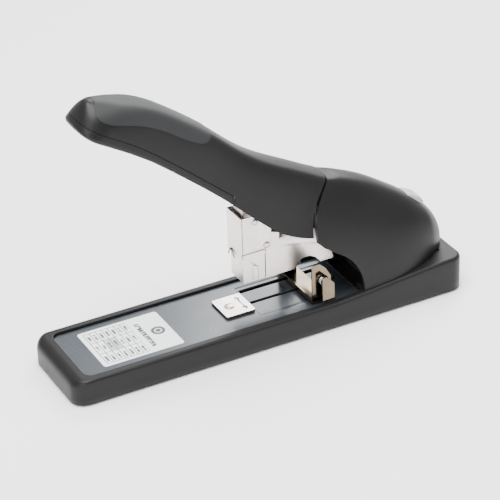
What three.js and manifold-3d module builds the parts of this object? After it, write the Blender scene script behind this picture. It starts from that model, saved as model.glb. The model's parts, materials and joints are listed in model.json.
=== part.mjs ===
// Heavy-duty desktop stapler, in millimetres.
// +X runs from the grip end to the rear cover, +Y to the left of a person at the grip looking back,
// +Z up. The origin is the middle of the underside of the base.
// Positions along X of everything but the base are measured from the staple line,
// the line across the anvil on which staples leave the head.
import * as THREE from "three";
import { mergeVertices } from "three/addons/utils/BufferGeometryUtils.js";
import { ParametricGeometry } from "three/addons/geometries/ParametricGeometry.js";
import Module from "manifold-3d";

const wasm = await Module();
wasm.setup();

// ---------- driving dimensions ----------
const GAP = 0.3; // clearance between pieces that rest on each other
const RUN = 0.5; // clearance round a piece that slides

// base
const baseLength = 285;
const baseWidth = 67.3;
const baseCorner = 10; // plan corner radius
const baseEdge = 2.2; // rounding of the long edges
const noseRound = 7; // rounding of the front top edge
const rearRound = 4;
const rimHeight = 18.5;
const rearRimHeight = 25.5;
const riseStart = 98.8; // distance from the rear end at which the rim starts to rise
const riseEnd = 12.5;
const baseWall = 3;
const baseFloor = 2.5; // thickness of the shelf that carries the deck
const footHeight = 0.8; // how far the feet stand below the shell
const footThickness = 2.6;
const footRadius = 7;
const footInset = 15; // foot centre from the ends and sides
const footSocketWall = 2;

// deck
const deckTop = 16.7;
const deckSheet = 1.5;
const deckInset = 11.3; // front edge of the deck from the front of the base
const rimWidth = 6.15; // side rim between the deck and the side of the base
const deckCorner = 5;
const platformStart = 75.5; // front of the raised rear platform, from the rear end
const slotEnd = 71; // rear end of the stop slots, from the staple line
const slotStart = 7;
const centreSlotWidth = 3;
const sideSlotWidth = 4;
const sideSlotY = 15.5;

// label
const labelLength = 56.1;
const labelWidth = 43.2;
const labelSheet = 0.3;
const labelInset = 26; // front edge of the label from the front of the base
const labelCorner = 2;

// staple line and staple size
const stapleLine = 151.3; // distance of the staple line from the rear end
const crownWidth = 12.9; // width of a staple over its legs

// anvil
const anvilSheet = 1.5;
const anvilWidth = 23;
const anvilFront = 16; // anvil length in front of the staple line
const anvilRear = 4.7;
const anvilCorner = 1.2;
const pitDepth = 0.8;
const pitHalf = 2.3; // half length of a clinch pit, along the staple
const pitHalfWidth = 1.5;
const pitOver = 0.6; // how far a pit reaches past the staple's leg
const legGroove = { half: 0.5, depth: 0.4, short: 2 }; // groove between the pits
const anvilRivet = 2; // radius
const anvilRivetFront = 8.6; // rivet in front of the staple line
const rivetHead = 3.2;
const rivetHeadLength = 1;

// hinges: positions from the staple line and heights
const headHinge = { x: 112, z: 33 };
const handleHinge = { x: 80.8, z: 67 };
const pinRadius = 3;
const pinHead = 4.6;
const pinHeadLength = 1.2;

// pivot bracket
const bracketSheet = 2;
const bracketInner = 13.6; // half width between the cheeks
const bracketFoot = 18.5; // half width of the foot
const bracketFrom = 88;
const bracketTo = 140;
const cheekRim = 3.4; // cheek round the hinge pin's head
const screwRadius = 1.8;
const screwHead = { radius: 3.24, height: 1.6 };
const screwPast = 1.5; // screw above the bracket's foot
const screwFront = 5; // front screws behind the front of the bracket
const screwRear = 16; // rear screws ahead of its rear end
const screwHalf = 10; // screws from the middle plane

// head
const plateHalf = 8.3; // half width over the side plates
const plateSheet = 1.2;
const housingSheet = 1;
const housingTop = 86;
const housingBottom = 56.3;
const housingRear = 18.4;
const noseFront = 1.8; // front of the nose ahead of the staple line
const noseSheet = 1;
const noseRear = 14.1;
const noseBottom = 37.7;
const noseTop = 59.5;
const rivetRadius = 1.5;
const rivetCap = { over: 0.7, height: 0.7 }; // head of a side rivet
const wireRadius = 0.45; // latch wire
const magazineBottom = 37.4;
const magazineTop = 63.9;
const railTop = 55.8;
const railHalf = 5.5;
const railSheet = 0.8;
const railEnd = 64;
const railDrop = 0.6; // bottom of the rail above the bottom of the side plates
const archStart = 35.8;
const archEnd = 55;
const archTop = 43.9;
const headPinRim = 7; // radius of the side plates round the hinge pin
const pusherFrom = 3; // front of the staple pusher
const pusherLength = 13;
const pusherRoof = 1.6; // thickness over the rail
const pusherSkirt = 14; // depth of its sides below the top of the rail
const tabLength = 4; // tab that the rod runs through
const tabHalf = 3;
const rodRadius = 1.1;
const springStop = 61; // plate at the rear end of the pusher's rod
const springX = 96; // head spring
const springSeat = 43;
const seatHalf = 6.5;
const pusherSpring = { radius: 1.9, wire: 0.35, turns: 12 };
const headSpring = { radius: 4.4, wire: 0.6, turns: 6 };
const handleSpring = { radius: 6, wire: 0.65, turns: 4, inset: 1.6 };

// driver
const bladeSheet = 1;
const driveStroke = 19.3;
const bladeTop = 97;
const strikerFrom = 0.9;
const strikerTo = 12;
const strikerHeight = 11;
const strikerBottom = 88;
const drivePin = { x: 8, z: 93.2, r: 2 };
const strikerWeb = 1.2; // front wall of the striker
const bladePlay = 0.2; // blade narrower than the staple, each side

// lever and handle
const leverHalf = 3.4; // half width over the lever channel
const leverSheet = 1.4;
const leverDepth = 5; // half depth of the lever at the head
const leverPinRim = 7; // radius of the lever round the hinge pin
const spacerWall = 1.6; // of the tubes between lever and bracket
const shellWall = 2.6;
const gripThickness = 1.4;
const seamRadius = 39; // radius of the handle's rear edge about its hinge
const seamGap = 2;
const handleTilt = THREE.MathUtils.degToRad(36);
const handleRidge = 13; // half width of the handle's top face
const handleRear = 24; // half width of the handle at its rear end
const handleFront = 18.5;
const handleTip = 224; // from the hinge pin
const handleRound = 24; // length of the rounded tip
const handleRidgeDrop = 1.7;
const handleTipDrop = 1.5; // further drop of the ridge towards the tip
const handleCorner = 2.6;
const handleBulge = 0.8;
const taperFrom = 30; // where the sides start to narrow
const taperLength = 90;
const tipPower = 2.4; // of the superellipse that rounds the tip in plan

// rear cover
const coverWall = 2.4;
const coverRidge = 14;
const coverSide = 2.65; // how far the cover's foot stands inside the side of the base
const coverRear = 2.5;
const coverArch = 73.4; // foot of the front arch ahead of the cover's rear end
const coverRidgeDrop = 4.3;
const coverCorner = 1;
const coverBulge = 3.4;
const coverLongAxis = 55; // length over which its plan rounds to the rear
const coverFrom = 30; // start of its skin, inside the handle's sweep
const coverLow = 12; // its skin starts below the base's rim
const releaseStart = { x: 121.5, z: 64 }; // upper end of the release button
const releaseLength = 16;
const releaseHalf = 6;

// paper stop
const stopX = 47; // middle of the stop from the staple line
const stopLength = 14;
const stopHalf = 23.7;
const stopSheet = 1.2;
const stopTop = 46;
const buttonReach = 28.6; // half width over the two side buttons
const buttonStem = 1.6;
const buttonX = 4; // stem behind the front of the stop
const buttonZ = 33.8;
const stopFence = 3.6; // height of the fence across the deck
const stopTravel = 8; // towards the rear
const tongueHalf = 3; // half length of the tongues in the deck's slots
const tonguePast = 2.4; // how far they reach below the shelf
const clampHalf = 8;
const clampSide = 6; // clamp past the middle of each slot
const collarOver = 1.2; // collar that keeps a button's stem in the upright
const collarLength = 1.4;
const stopSpring = { radius: 2.4, wire: 0.35, turns: 3 };

const rearEnd = baseLength / 2;
const stapleX = rearEnd - stapleLine;
const deckHalf = baseWidth / 2 - rimWidth;
const shelf = deckTop - deckSheet - GAP;

// ---------- helpers ----------
const toSolid = (geometry) => {
  const bare = geometry.index ? geometry.toNonIndexed() : geometry.clone();
  bare.deleteAttribute("normal");
  bare.deleteAttribute("uv");
  const merged = mergeVertices(bare, 1e-4);
  const corners = [];
  const index = merged.index.array;
  for (let i = 0; i < index.length; i += 3) {
    const [a, b, c] = [index[i], index[i + 1], index[i + 2]];
    if (a !== b && b !== c && c !== a) corners.push(a, b, c);
  }
  return new wasm.Manifold(
    new wasm.Mesh({
      numProp: 3,
      vertProperties: merged.attributes.position.array,
      triVerts: new Uint32Array(corners),
    }),
  );
};

const toGeometry = (solid) => {
  const mesh = solid.getMesh();
  const geometry = new THREE.BufferGeometry();
  geometry.setAttribute("position", new THREE.BufferAttribute(mesh.vertProperties, 3));
  geometry.setIndex(new THREE.BufferAttribute(mesh.triVerts, 1));
  const flat = geometry.toNonIndexed();
  flat.computeVertexNormals();
  return flat;
};

const addAll = (solids) => solids.reduce((sum, solid) => sum.add(solid));
const cutAll = (solid, cuts) => cuts.reduce((rest, cut) => rest.subtract(cut), solid);

const shapeOf = (points) => {
  const list = points
    .map(([a, b]) => new THREE.Vector2(a, b))
    .filter((p, i, all) => p.distanceTo(all[(i + 1) % all.length]) > 1e-3);
  if (THREE.ShapeUtils.isClockWise(list)) list.reverse();
  return new THREE.Shape(list);
};

const basis = (x, y, z) =>
  new THREE.Matrix4().makeBasis(
    new THREE.Vector3(...x),
    new THREE.Vector3(...y),
    new THREE.Vector3(...z),
  );

const extrude = (shape, depth, options = {}) =>
  new THREE.ExtrudeGeometry(shape, { depth, bevelEnabled: false, steps: 1, ...options });

// outline in (x, y) between two heights
const prismZ = (points, low, high) =>
  toSolid(extrude(shapeOf(points), high - low).translate(0, 0, low));

// outline in (x, z) between two y values
const prismY = (points, low, high) =>
  toSolid(
    extrude(shapeOf(points), high - low)
      .applyMatrix4(basis([1, 0, 0], [0, 0, 1], [0, -1, 0]))
      .translate(0, high, 0),
  );

const box = (x0, x1, y0, y1, z0, z1) =>
  toSolid(
    new THREE.BoxGeometry(x1 - x0, y1 - y0, z1 - z0).translate(
      (x0 + x1) / 2,
      (y0 + y1) / 2,
      (z0 + z1) / 2,
    ),
  );

// the same thing on both sides of the middle plane
const bothSides = (make) => [make(1), make(-1)];
const wallY = (points, inner, outer, side) =>
  prismY(points, side > 0 ? inner : -outer, side > 0 ? outer : -inner);

const rodY = (x, z, radius, low, high, sides = 20) =>
  toSolid(
    new THREE.CylinderGeometry(radius, radius, high - low, sides).translate(
      x,
      (low + high) / 2,
      z,
    ),
  );

const rodZ = (x, y, radius, low, high, sides = 20) =>
  toSolid(
    new THREE.CylinderGeometry(radius, radius, high - low, sides)
      .rotateX(Math.PI / 2)
      .translate(x, y, (low + high) / 2),
  );

const rodX = (y, z, radius, low, high, sides = 16) =>
  toSolid(
    new THREE.CylinderGeometry(radius, radius, high - low, sides)
      .rotateZ(Math.PI / 2)
      .translate((low + high) / 2, y, z),
  );

// a pin across the width with a head at each end
const headedPin = (x, z, radius, half, headRadius, headLength) => {
  const profile = [
    [0, -half - headLength],
    [headRadius, -half - headLength],
    [headRadius, -half],
    [radius, -half],
    [radius, half],
    [headRadius, half],
    [headRadius, half + headLength],
    [0, half + headLength],
  ].map(([r, h]) => new THREE.Vector2(r, h));
  return toSolid(new THREE.LatheGeometry(profile, 24).translate(x, 0, z));
};

const roundedRect = (x0, x1, y0, y1, radius, steps = 6) => {
  const r = Math.max(radius, 0.2);
  const shape = new THREE.Shape();
  shape.moveTo(x0 + r, y0);
  shape.lineTo(x1 - r, y0);
  shape.absarc(x1 - r, y0 + r, r, -Math.PI / 2, 0);
  shape.absarc(x1 - r, y1 - r, r, 0, Math.PI / 2);
  shape.absarc(x0 + r, y1 - r, r, Math.PI / 2, Math.PI);
  shape.absarc(x0 + r, y0 + r, r, Math.PI, Math.PI * 1.5);
  return shape.getPoints(steps).map((p) => [p.x, p.y]);
};

const arcPoints = (x, z, r, from, to, steps) =>
  Array.from({ length: steps + 1 }, (_, i) => {
    const angle = THREE.MathUtils.degToRad(from + ((to - from) * i) / steps);
    return [x + r * Math.cos(angle), z + r * Math.sin(angle)];
  });

const smooth = (points, count) =>
  new THREE.SplineCurve(points.map(([a, b]) => new THREE.Vector2(a, b)))
    .getPoints(count)
    .map((p) => [p.x, p.y]);

// moves a closed outline inwards by a distance, corner by corner
const inset = (points, distance) => {
  const list = shapeOf(points).getPoints();
  const last = list[list.length - 1];
  if (last.distanceTo(list[0]) < 1e-6) list.pop();
  return list.map((p, i) => {
    const before = p.clone().sub(list[(i + list.length - 1) % list.length]).normalize();
    const after = list[(i + 1) % list.length].clone().sub(p).normalize();
    const normal = new THREE.Vector2(-before.y - after.y, before.x + after.x).normalize();
    const spread = Math.max(0.35, normal.dot(new THREE.Vector2(-before.y, before.x)));
    return [p.x + (normal.x * distance) / spread, p.y + (normal.y * distance) / spread];
  });
};

// a helical spring: the wire follows a coil about an axis through a point
const coil = ({ radius, wire, turns }, length, steps, sides) => {
  const points = Array.from({ length: turns * steps + 1 }, (_, i) => {
    const angle = (i / steps) * 2 * Math.PI;
    const rise = (i / (turns * steps)) * (length - 2 * wire) + wire;
    return new THREE.Vector3(radius * Math.cos(angle), radius * Math.sin(angle), rise);
  });
  const section = shapeOf(
    Array.from({ length: sides }, (_, i) => {
      const angle = (i / sides) * 2 * Math.PI;
      return [wire * Math.cos(angle), wire * Math.sin(angle)];
    }),
  );
  return new THREE.ExtrudeGeometry(section, {
    steps: turns * steps,
    bevelEnabled: false,
    extrudePath: new THREE.CatmullRomCurve3(points),
  });
};

// value of a table of [position, value] pairs, as a smooth curve through them
const along = (table, at) => {
  const last = table.length - 1;
  const i = THREE.MathUtils.clamp(table.findIndex(([x]) => x > at) - 1, 0, last - 1);
  const k = at >= table[last][0] ? last - 1 : i;
  const slope = (n) => {
    const a = table[Math.max(n - 1, 0)];
    const b = table[Math.min(n + 1, last)];
    return (b[1] - a[1]) / (b[0] - a[0]);
  };
  const [x0, y0] = table[k];
  const [x1, y1] = table[k + 1];
  const span = x1 - x0;
  const t = THREE.MathUtils.clamp((at - x0) / span, 0, 1);
  return (
    y0 * (2 * t ** 3 - 3 * t ** 2 + 1) +
    y1 * (3 * t ** 2 - 2 * t ** 3) +
    slope(k) * span * (t ** 3 - 2 * t ** 2 + t) +
    slope(k + 1) * span * (t ** 3 - t ** 2)
  );
};

// half of a moulding's section: crowned top, ridge, bulging side and rounded foot
const sectionOf = ({ top, low, ridge, half, drop, corner, bulge }) => {
  const edge = top - drop;
  const foot = low + corner;
  const sideAt = (share, out) => [
    ridge + (half - ridge) * share + bulge * out,
    edge + (foot - edge) * share,
  ];
  const right = [
    [0, top],
    [ridge * 0.5, top - drop * 0.22],
    [ridge * 0.85, top - drop * 0.66],
    [ridge, edge],
    sideAt(0.08, 0.5),
    sideAt(0.3, 1),
    sideAt(0.6, 0.8),
    [half, foot],
    [half - corner * 0.3 * Math.min(1, half / 6), low + corner * 0.3],
    [half - Math.min(corner, half * 0.5), low],
    [0, low],
  ];
  const left = right
    .slice(1, -1)
    .reverse()
    .map(([y, t]) => [-y, t]);
  return [...right, ...left];
};

const quarterTurn = 1.5708;

// positions that crowd towards the end of a rounded length, and stop just short of it
const tipSteps = (from, length, count) =>
  Array.from({ length: count }, (_, i) => from + length * Math.sin((i / (count - 0.4)) * quarterTurn));

// skin through a row of sections that runs towards -X, closed at both ends
const loft = (stations, place) => {
  const rings = stations.map((station) =>
    sectionOf(station).map(([y, t]) => place(station.at, y, t)),
  );
  const centre = (ring) =>
    ring.map(() => [0, 1, 2].map((k) => ring.reduce((sum, p) => sum + p[k], 0) / ring.length));
  const rows = [centre(rings[0]), ...rings, centre(rings[rings.length - 1])];
  const around = rows[0].length;
  const skin = new ParametricGeometry(
    (u, v, target) => {
      const row = rows[Math.round(v * (rows.length - 1))];
      target.set(...row[Math.round(u * around) % around]);
    },
    around,
    rows.length - 1,
  );
  return toSolid(skin);
};

// ---------- materials ----------
const look = (color, roughness, metalness) =>
  new THREE.MeshStandardMaterial({ color, roughness, metalness });
const blackPlastic = look(0x17181b, 0.5, 0);
const greyRubber = look(0x35383c, 0.8, 0);
const deckPaint = look(0x4a5560, 0.45, 0.3);
const nickel = look(0xd9d8d5, 0.22, 1);
const darkSteel = look(0x5c5f63, 0.4, 1);
const brassTone = look(0xb08d57, 0.35, 1);
const springSteel = look(0x9a9c9f, 0.35, 1);
const labelPaper = look(0xe9ebec, 0.55, 0);
const footRubber = look(0x101113, 0.9, 0);
const greyButton = look(0xb9b4b6, 0.5, 0);

const stapler = new THREE.Group();
const works = new THREE.Group(); // everything placed from the staple line
works.position.x = stapleX;
stapler.add(works);

const addPiece = (parent, name, solid, material) => {
  const geometry = solid.isBufferGeometry ? solid : toGeometry(solid);
  const mesh = new THREE.Mesh(geometry, material);
  mesh.name = name;
  parent.add(mesh);
  return mesh;
};

// ---------- base ----------
const rise = (rearRimHeight - rimHeight) / (riseStart - riseEnd);
const rimAt = (x) =>
  rimHeight + rise * Math.min(Math.max(x - (rearEnd - riseStart), 0), riseStart - riseEnd);

const sideProfile = [
  [-rearEnd, footHeight],
  ...arcPoints(-rearEnd + noseRound, rimHeight - noseRound, noseRound, 180, 90, 6),
  [rearEnd - riseStart, rimHeight],
  [rearEnd - riseEnd, rearRimHeight],
  ...arcPoints(rearEnd - rearRound, rearRimHeight - rearRound, rearRound, 90, 0, 4),
  [rearEnd, footHeight],
];
const roundedSlab = toSolid(
  extrude(shapeOf(sideProfile), baseWidth - 2 * baseEdge, {
    bevelEnabled: true,
    bevelThickness: baseEdge,
    bevelSize: baseEdge,
    bevelOffset: -baseEdge,
    bevelSegments: 3,
  })
    .applyMatrix4(basis([1, 0, 0], [0, 0, 1], [0, -1, 0]))
    .translate(0, baseWidth / 2 - baseEdge, 0),
);
const basePlan = roundedRect(
  -rearEnd,
  rearEnd,
  -baseWidth / 2,
  baseWidth / 2,
  baseCorner,
);
const hollowPlan = roundedRect(
  -rearEnd + baseWall,
  rearEnd - baseWall,
  -baseWidth / 2 + baseWall,
  baseWidth / 2 - baseWall,
  baseCorner - baseWall,
);
const deckPlan = (grow) =>
  roundedRect(
    -rearEnd + deckInset - grow,
    rearEnd - platformStart - GAP + grow,
    -deckHalf - grow,
    deckHalf + grow,
    deckCorner + grow,
  );
const slotCuts = (grow, low, high) =>
  [
    [0, centreSlotWidth],
    [sideSlotY, sideSlotWidth],
  ].map(([y, width]) =>
    box(
      stapleX + slotStart - grow,
      stapleX + slotEnd + grow,
      y - width / 2 - grow,
      y + width / 2 + grow,
      low,
      high,
    ),
  );
const footPlaces = [
  [-rearEnd + footInset, -baseWidth / 2 + footInset],
  [-rearEnd + footInset, baseWidth / 2 - footInset],
  [rearEnd - footInset, -baseWidth / 2 + footInset],
  [rearEnd - footInset, baseWidth / 2 - footInset],
];
const footTop = footThickness + GAP;
const bracketPocket = box(
  stapleX + bracketFrom - GAP,
  stapleX + bracketTo + GAP,
  -bracketFoot - GAP,
  bracketFoot + GAP,
  shelf,
  rearRimHeight + 1,
);
const screwPlaces = [
  [bracketFrom + screwFront, -screwHalf],
  [bracketFrom + screwFront, screwHalf],
  [bracketTo - screwRear, -screwHalf],
  [bracketTo - screwRear, screwHalf],
].map(([x, y]) => [stapleX + x, y]);
const anvilRivetX = stapleX - anvilRivetFront;

const footSockets = footPlaces.map(([x, y]) =>
  rodZ(x, y, footRadius + footSocketWall, footHeight, shelf - baseFloor + 1, 24),
);
const baseShell = cutAll(
  addAll([
    roundedSlab
      .intersect(prismZ(basePlan, 0, rearRimHeight + 1))
      .subtract(prismZ(hollowPlan, 0, shelf - baseFloor)),
    ...footSockets,
  ]),
  [
    prismZ(deckPlan(GAP), shelf, rearRimHeight + 1),
    bracketPocket,
    ...slotCuts(RUN, shelf - baseFloor - 1, shelf + 1),
    ...footPlaces.map(([x, y]) => rodZ(x, y, footRadius + GAP, -1, footTop, 24)),
    ...screwPlaces.map(([x, y]) => rodZ(x, y, screwRadius + GAP, 0, rearRimHeight, 12)),
    rodZ(anvilRivetX, 0, anvilRivet + 2, 0, shelf + 1, 20),
  ],
);
addPiece(stapler, "base_shell", baseShell, blackPlastic);

footPlaces.forEach(([x, y], i) => {
  const foot = rodZ(x, y, footRadius, 0, footThickness, 24);
  addPiece(stapler, `foot_${i + 1}`, foot, footRubber);
});

// ---------- deck, label and anvil ----------
const labelFrom = -rearEnd + labelInset;
const labelPlan = (grow) =>
  roundedRect(
    labelFrom - grow,
    labelFrom + labelLength + grow,
    -labelWidth / 2 - grow,
    labelWidth / 2 + grow,
    labelCorner + grow,
    3,
  );
const labelFloor = deckTop - labelSheet - GAP / 3;
const deckPlate = cutAll(prismZ(deckPlan(0), deckTop - deckSheet, deckTop), [
  prismZ(labelPlan(GAP), labelFloor, deckTop + 1),
  ...slotCuts(0, 0, deckTop + 1),
  rodZ(anvilRivetX, 0, anvilRivet + GAP, 0, deckTop + 1, 16),
]);
addPiece(stapler, "deck_plate", deckPlate, deckPaint);
addPiece(
  stapler,
  "label",
  prismZ(labelPlan(0), labelFloor + GAP, labelFloor + GAP + labelSheet),
  labelPaper,
);

const anvilBottom = deckTop + GAP;
const anvilTop = anvilBottom + anvilSheet;
const anvilPits = bothSides((side) => {
  const y = side * (crownWidth / 2 - pitHalf / 2 + pitOver);
  return toSolid(
    new THREE.SphereGeometry(1, 16, 8).scale(pitHalfWidth, pitHalf, pitDepth).translate(0, y, anvilTop),
  );
});
const anvilPlate = cutAll(
  prismZ(
    roundedRect(-anvilFront, anvilRear, -anvilWidth / 2, anvilWidth / 2, anvilCorner, 3),
    anvilBottom,
    anvilTop,
  ),
  [
    ...anvilPits,
    box(
      -legGroove.half,
      legGroove.half,
      -crownWidth / 2 + legGroove.short,
      crownWidth / 2 - legGroove.short,
      anvilTop - legGroove.depth,
      anvilTop + 1,
    ),
    rodZ(anvilRivetX - stapleX, 0, anvilRivet + GAP, 0, anvilTop + 1, 16),
  ],
);
addPiece(works, "anvil_plate", anvilPlate, nickel);
const rivetProfile = [
  [0, shelf - rivetHeadLength - GAP],
  [rivetHead, shelf - rivetHeadLength - GAP],
  [rivetHead, shelf - GAP],
  [anvilRivet, shelf - GAP],
  [anvilRivet, anvilTop + GAP],
  [anvilRivet * 1.35, anvilTop + GAP],
  [anvilRivet * 1.2, anvilTop + GAP + 0.5],
  [0, anvilTop + GAP + 0.6],
].map(([r, h]) => new THREE.Vector2(r, h));
addPiece(
  works,
  "anvil_rivet",
  toSolid(
    new THREE.LatheGeometry(rivetProfile, 16)
      .rotateX(Math.PI / 2)
      .translate(anvilRivetX - stapleX, 0, 0),
  ),
  nickel,
);

// ---------- pivot bracket and the hinge pins ----------
const bracketTop = shelf + GAP + bracketSheet;
const cheekOutline = [
  [bracketFrom, shelf + GAP],
  [bracketTo - 4, shelf + GAP],
  [headHinge.x + 12, headHinge.z + 8],
  [headHinge.x + 2, headHinge.z + 16],
  ...arcPoints(handleHinge.x, handleHinge.z, pinHead + cheekRim, 60, 215, 8),
  [bracketFrom + 3, headHinge.z + 8],
];
const pinHoles = [headHinge, handleHinge].map(({ x, z }) =>
  rodY(x, z, pinRadius + GAP, -baseWidth, baseWidth),
);
const bracket = cutAll(
  addAll([
    box(bracketFrom, bracketTo, -bracketFoot, bracketFoot, shelf + GAP, bracketTop),
    ...bothSides((side) =>
      wallY(cheekOutline, bracketInner, bracketInner + bracketSheet, side),
    ),
  ]),
  [
    ...pinHoles,
    ...screwPlaces.map(([x, y]) =>
      rodZ(x - stapleX, y, screwRadius + GAP, 0, bracketTop + 1, 12),
    ),
  ],
);
addPiece(works, "pivot_bracket", bracket, darkSteel);

const pinHalf = bracketInner + bracketSheet + GAP;
const pinLook = springSteel;
addPiece(
  works,
  "head_hinge_pin",
  headedPin(headHinge.x, headHinge.z, pinRadius, pinHalf, pinHead, pinHeadLength),
  pinLook,
);
addPiece(
  works,
  "handle_hinge_pin",
  headedPin(handleHinge.x, handleHinge.z, pinRadius, pinHalf, pinHead, pinHeadLength),
  pinLook,
);

screwPlaces.forEach(([x, y], i) => {
  const head = shelf - baseFloor - GAP;
  const profile = [
    [0, head - screwHead.height],
    [screwHead.radius, head - screwHead.height],
    [screwHead.radius, head],
    [screwRadius, head],
    [screwRadius, bracketTop + screwPast],
    [0, bracketTop + screwPast],
  ].map(([r, h]) => new THREE.Vector2(r, h));
  const screw = new THREE.LatheGeometry(profile, 12)
    .rotateX(Math.PI / 2)
    .translate(x - stapleX, y, 0);
  addPiece(works, `bracket_screw_${i + 1}`, toSolid(screw), springSteel);
});

// ---------- rear cover ----------
const rearX = stapleLine; // rear end of the base from the staple line
const coverEndX = rearX - coverRear;
const coverFrontX = coverEndX - coverArch;
const coverEdgeRadius = seamRadius - seamGap;
const coverHalf = baseWidth / 2 - coverSide;
const rimFrom = (x) => rimAt(x + stapleX);
const archLine = smooth(
  [
    [coverFrontX, rimFrom(coverFrontX) + GAP],
    [coverFrontX - 0.8, 29],
    [coverFrontX - 4.6, 39],
    [coverFrontX - 11.5, 47.5],
    [coverFrontX - 22, 54.5],
    [handleHinge.x - coverEdgeRadius + 0.7, 61],
  ],
  12,
);
const coverEdge = arcPoints(handleHinge.x, handleHinge.z, coverEdgeRadius, 188, 110, 10);
const coverKeep = [
  ...archLine,
  ...coverEdge,
  [coverEdge[10][0], 140],
  [coverEndX + 5, 140],
  [coverEndX + 5, rearRimHeight + GAP],
  [rearX - riseEnd, rearRimHeight + GAP],
];
const coverHeights = [
  [40, 106.5],
  [57, 101.6],
  [65.6, 98.6],
  [90.3, 87.8],
  [108.1, 77],
  [123.8, 66],
  [coverEndX - 9.5, 52],
  [coverEndX - 3.4, 42],
  [coverEndX - 0.8, 32],
  [coverEndX, 24],
];
const coverBody = (shrink) => {
  const centre = coverEndX - coverLongAxis;
  const stations = [
    ...Array.from({ length: 8 }, (_, i) => coverFrom + (i * (centre - coverFrom)) / 8),
    ...tipSteps(centre, coverLongAxis, 13),
  ].map((x) => {
    const round = Math.sqrt(1 - Math.max(0, (x - centre) / coverLongAxis) ** 2);
    return {
      at: x - shrink * Math.max(0, (x - centre) / coverLongAxis),
      top: along(coverHeights, x) - shrink,
      low: coverLow,
      ridge: Math.max(0.4, coverRidge * Math.min(1, round * 1.5) - shrink),
      half: Math.max(0.6, coverHalf * round - shrink),
      drop: coverRidgeDrop * Math.min(1, round * 1.5),
      corner: coverCorner,
      bulge: coverBulge * round,
    };
  });
  return loft(stations.reverse(), (at, y, t) => [at, y, t]);
};

// release button: slides into the cover along the normal of its rear slope
const pressDirection = { x: -0.6, z: -0.8 };
const alongSlope = { x: 0.8, z: -0.6 };
const slopePoint = (along, out) => [
  releaseStart.x + alongSlope.x * along - pressDirection.x * out,
  releaseStart.z + alongSlope.z * along - pressDirection.z * out,
];
const releaseHole = prismY(
  [
    slopePoint(-RUN, -9),
    slopePoint(releaseLength + RUN, -9),
    slopePoint(releaseLength + RUN, 14),
    slopePoint(-RUN, 14),
  ],
  -releaseHalf - RUN,
  releaseHalf + RUN,
);
const releaseButton = prismY(
  [
    slopePoint(0, -4.4),
    slopePoint(releaseLength, -4.4),
    slopePoint(releaseLength, 1),
    slopePoint(releaseLength - 1.6, 3.6),
    slopePoint(releaseLength * 0.6, 5.2),
    slopePoint(0, 3.2),
  ],
  -releaseHalf,
  releaseHalf,
);
const rearCover = cutAll(
  coverBody(0).intersect(prismY(coverKeep, -baseWidth, baseWidth)),
  [coverBody(coverWall), releaseHole],
);
addPiece(works, "rear_cover", rearCover, blackPlastic);
addPiece(works, "release_button", releaseButton, greyButton);

// ---------- head: frame, nose, housing ----------
const plateInner = plateHalf - plateSheet;
const housingHalf = plateHalf + GAP + housingSheet;
const frameFront = noseRear + GAP * 2;
const frameLow = noseTop + GAP * 2;
const framePlate = [
  [frameFront, magazineBottom],
  [archStart, magazineBottom],
  [archStart + 2.2, magazineBottom + 4.2],
  [archStart + 6.2, archTop],
  [archEnd - 7.5, archTop],
  [archEnd - 3.6, archTop - 2.2],
  [archEnd, magazineBottom],
  [archEnd + 9.6, magazineBottom],
  [archEnd + 8.4, magazineBottom + 7],
  [archEnd + 5.4, magazineBottom + 11],
  [archEnd + 18, magazineBottom + 11],
  [headHinge.x - 14, headHinge.z - 5.4],
  ...arcPoints(headHinge.x, headHinge.z, headPinRim, 245, 430, 8),
  [headHinge.x - 26, magazineTop - 6],
  [archEnd + 3, magazineTop],
  [24.8, magazineTop],
  [24.8, magazineTop + 4.4],
  [housingRear - 2, magazineTop + 7],
  [housingRear - 2, housingTop - 3],
  [noseSheet + 1, housingTop - 3],
  [noseSheet + 1, frameLow],
  [frameFront, frameLow],
];
const webOutline = [
  [26, magazineTop - plateSheet],
  [archEnd + 3, magazineTop - plateSheet],
  [archEnd + 3, magazineTop],
  [26, magazineTop],
];
const pusherTop = railTop + GAP + pusherRoof;
const rodHeight = (pusherTop + magazineTop - plateSheet) / 2 + GAP;
const headFrame = addAll([
  ...bothSides((side) => wallY(framePlate, plateInner, plateHalf, side)),
  prismY(webOutline, -plateHalf, plateHalf),
  box(
    springX - seatHalf,
    springX + seatHalf,
    -plateHalf,
    plateHalf,
    springSeat,
    springSeat + plateSheet,
  ),
  box(
    springStop,
    springStop + plateSheet,
    -plateHalf,
    plateHalf,
    railTop + 1,
    magazineTop - plateSheet * 1.2,
  ).subtract(rodX(0, rodHeight, rodRadius + GAP, springStop - 1, springStop + 3)),
]);
const rivetPlaces = [
  [6.9, 81.6],
  [15, 61.5 + 1.2],
];
const rivetHoles = rivetPlaces.map(([x, z]) =>
  rodY(x, z, rivetRadius + GAP, -housingHalf - 1, housingHalf + 1, 16),
);
const headPinHole = rodY(
  headHinge.x,
  headHinge.z,
  pinRadius + GAP,
  -housingHalf,
  housingHalf,
);
addPiece(
  works,
  "head_frame",
  cutAll(headFrame, [headPinHole, ...rivetHoles]),
  nickel,
);

const uPiece = (front, rear, half, sheet, low, high) =>
  box(front, rear, -half, half, low, high).subtract(
    box(front + sheet, rear + 1, -half + sheet, half - sheet, low - 1, high + 1),
  );
const nosePiece = uPiece(-noseFront, noseRear, plateHalf, noseSheet, noseBottom, noseTop);
addPiece(works, "nose_piece", nosePiece, nickel);

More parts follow.
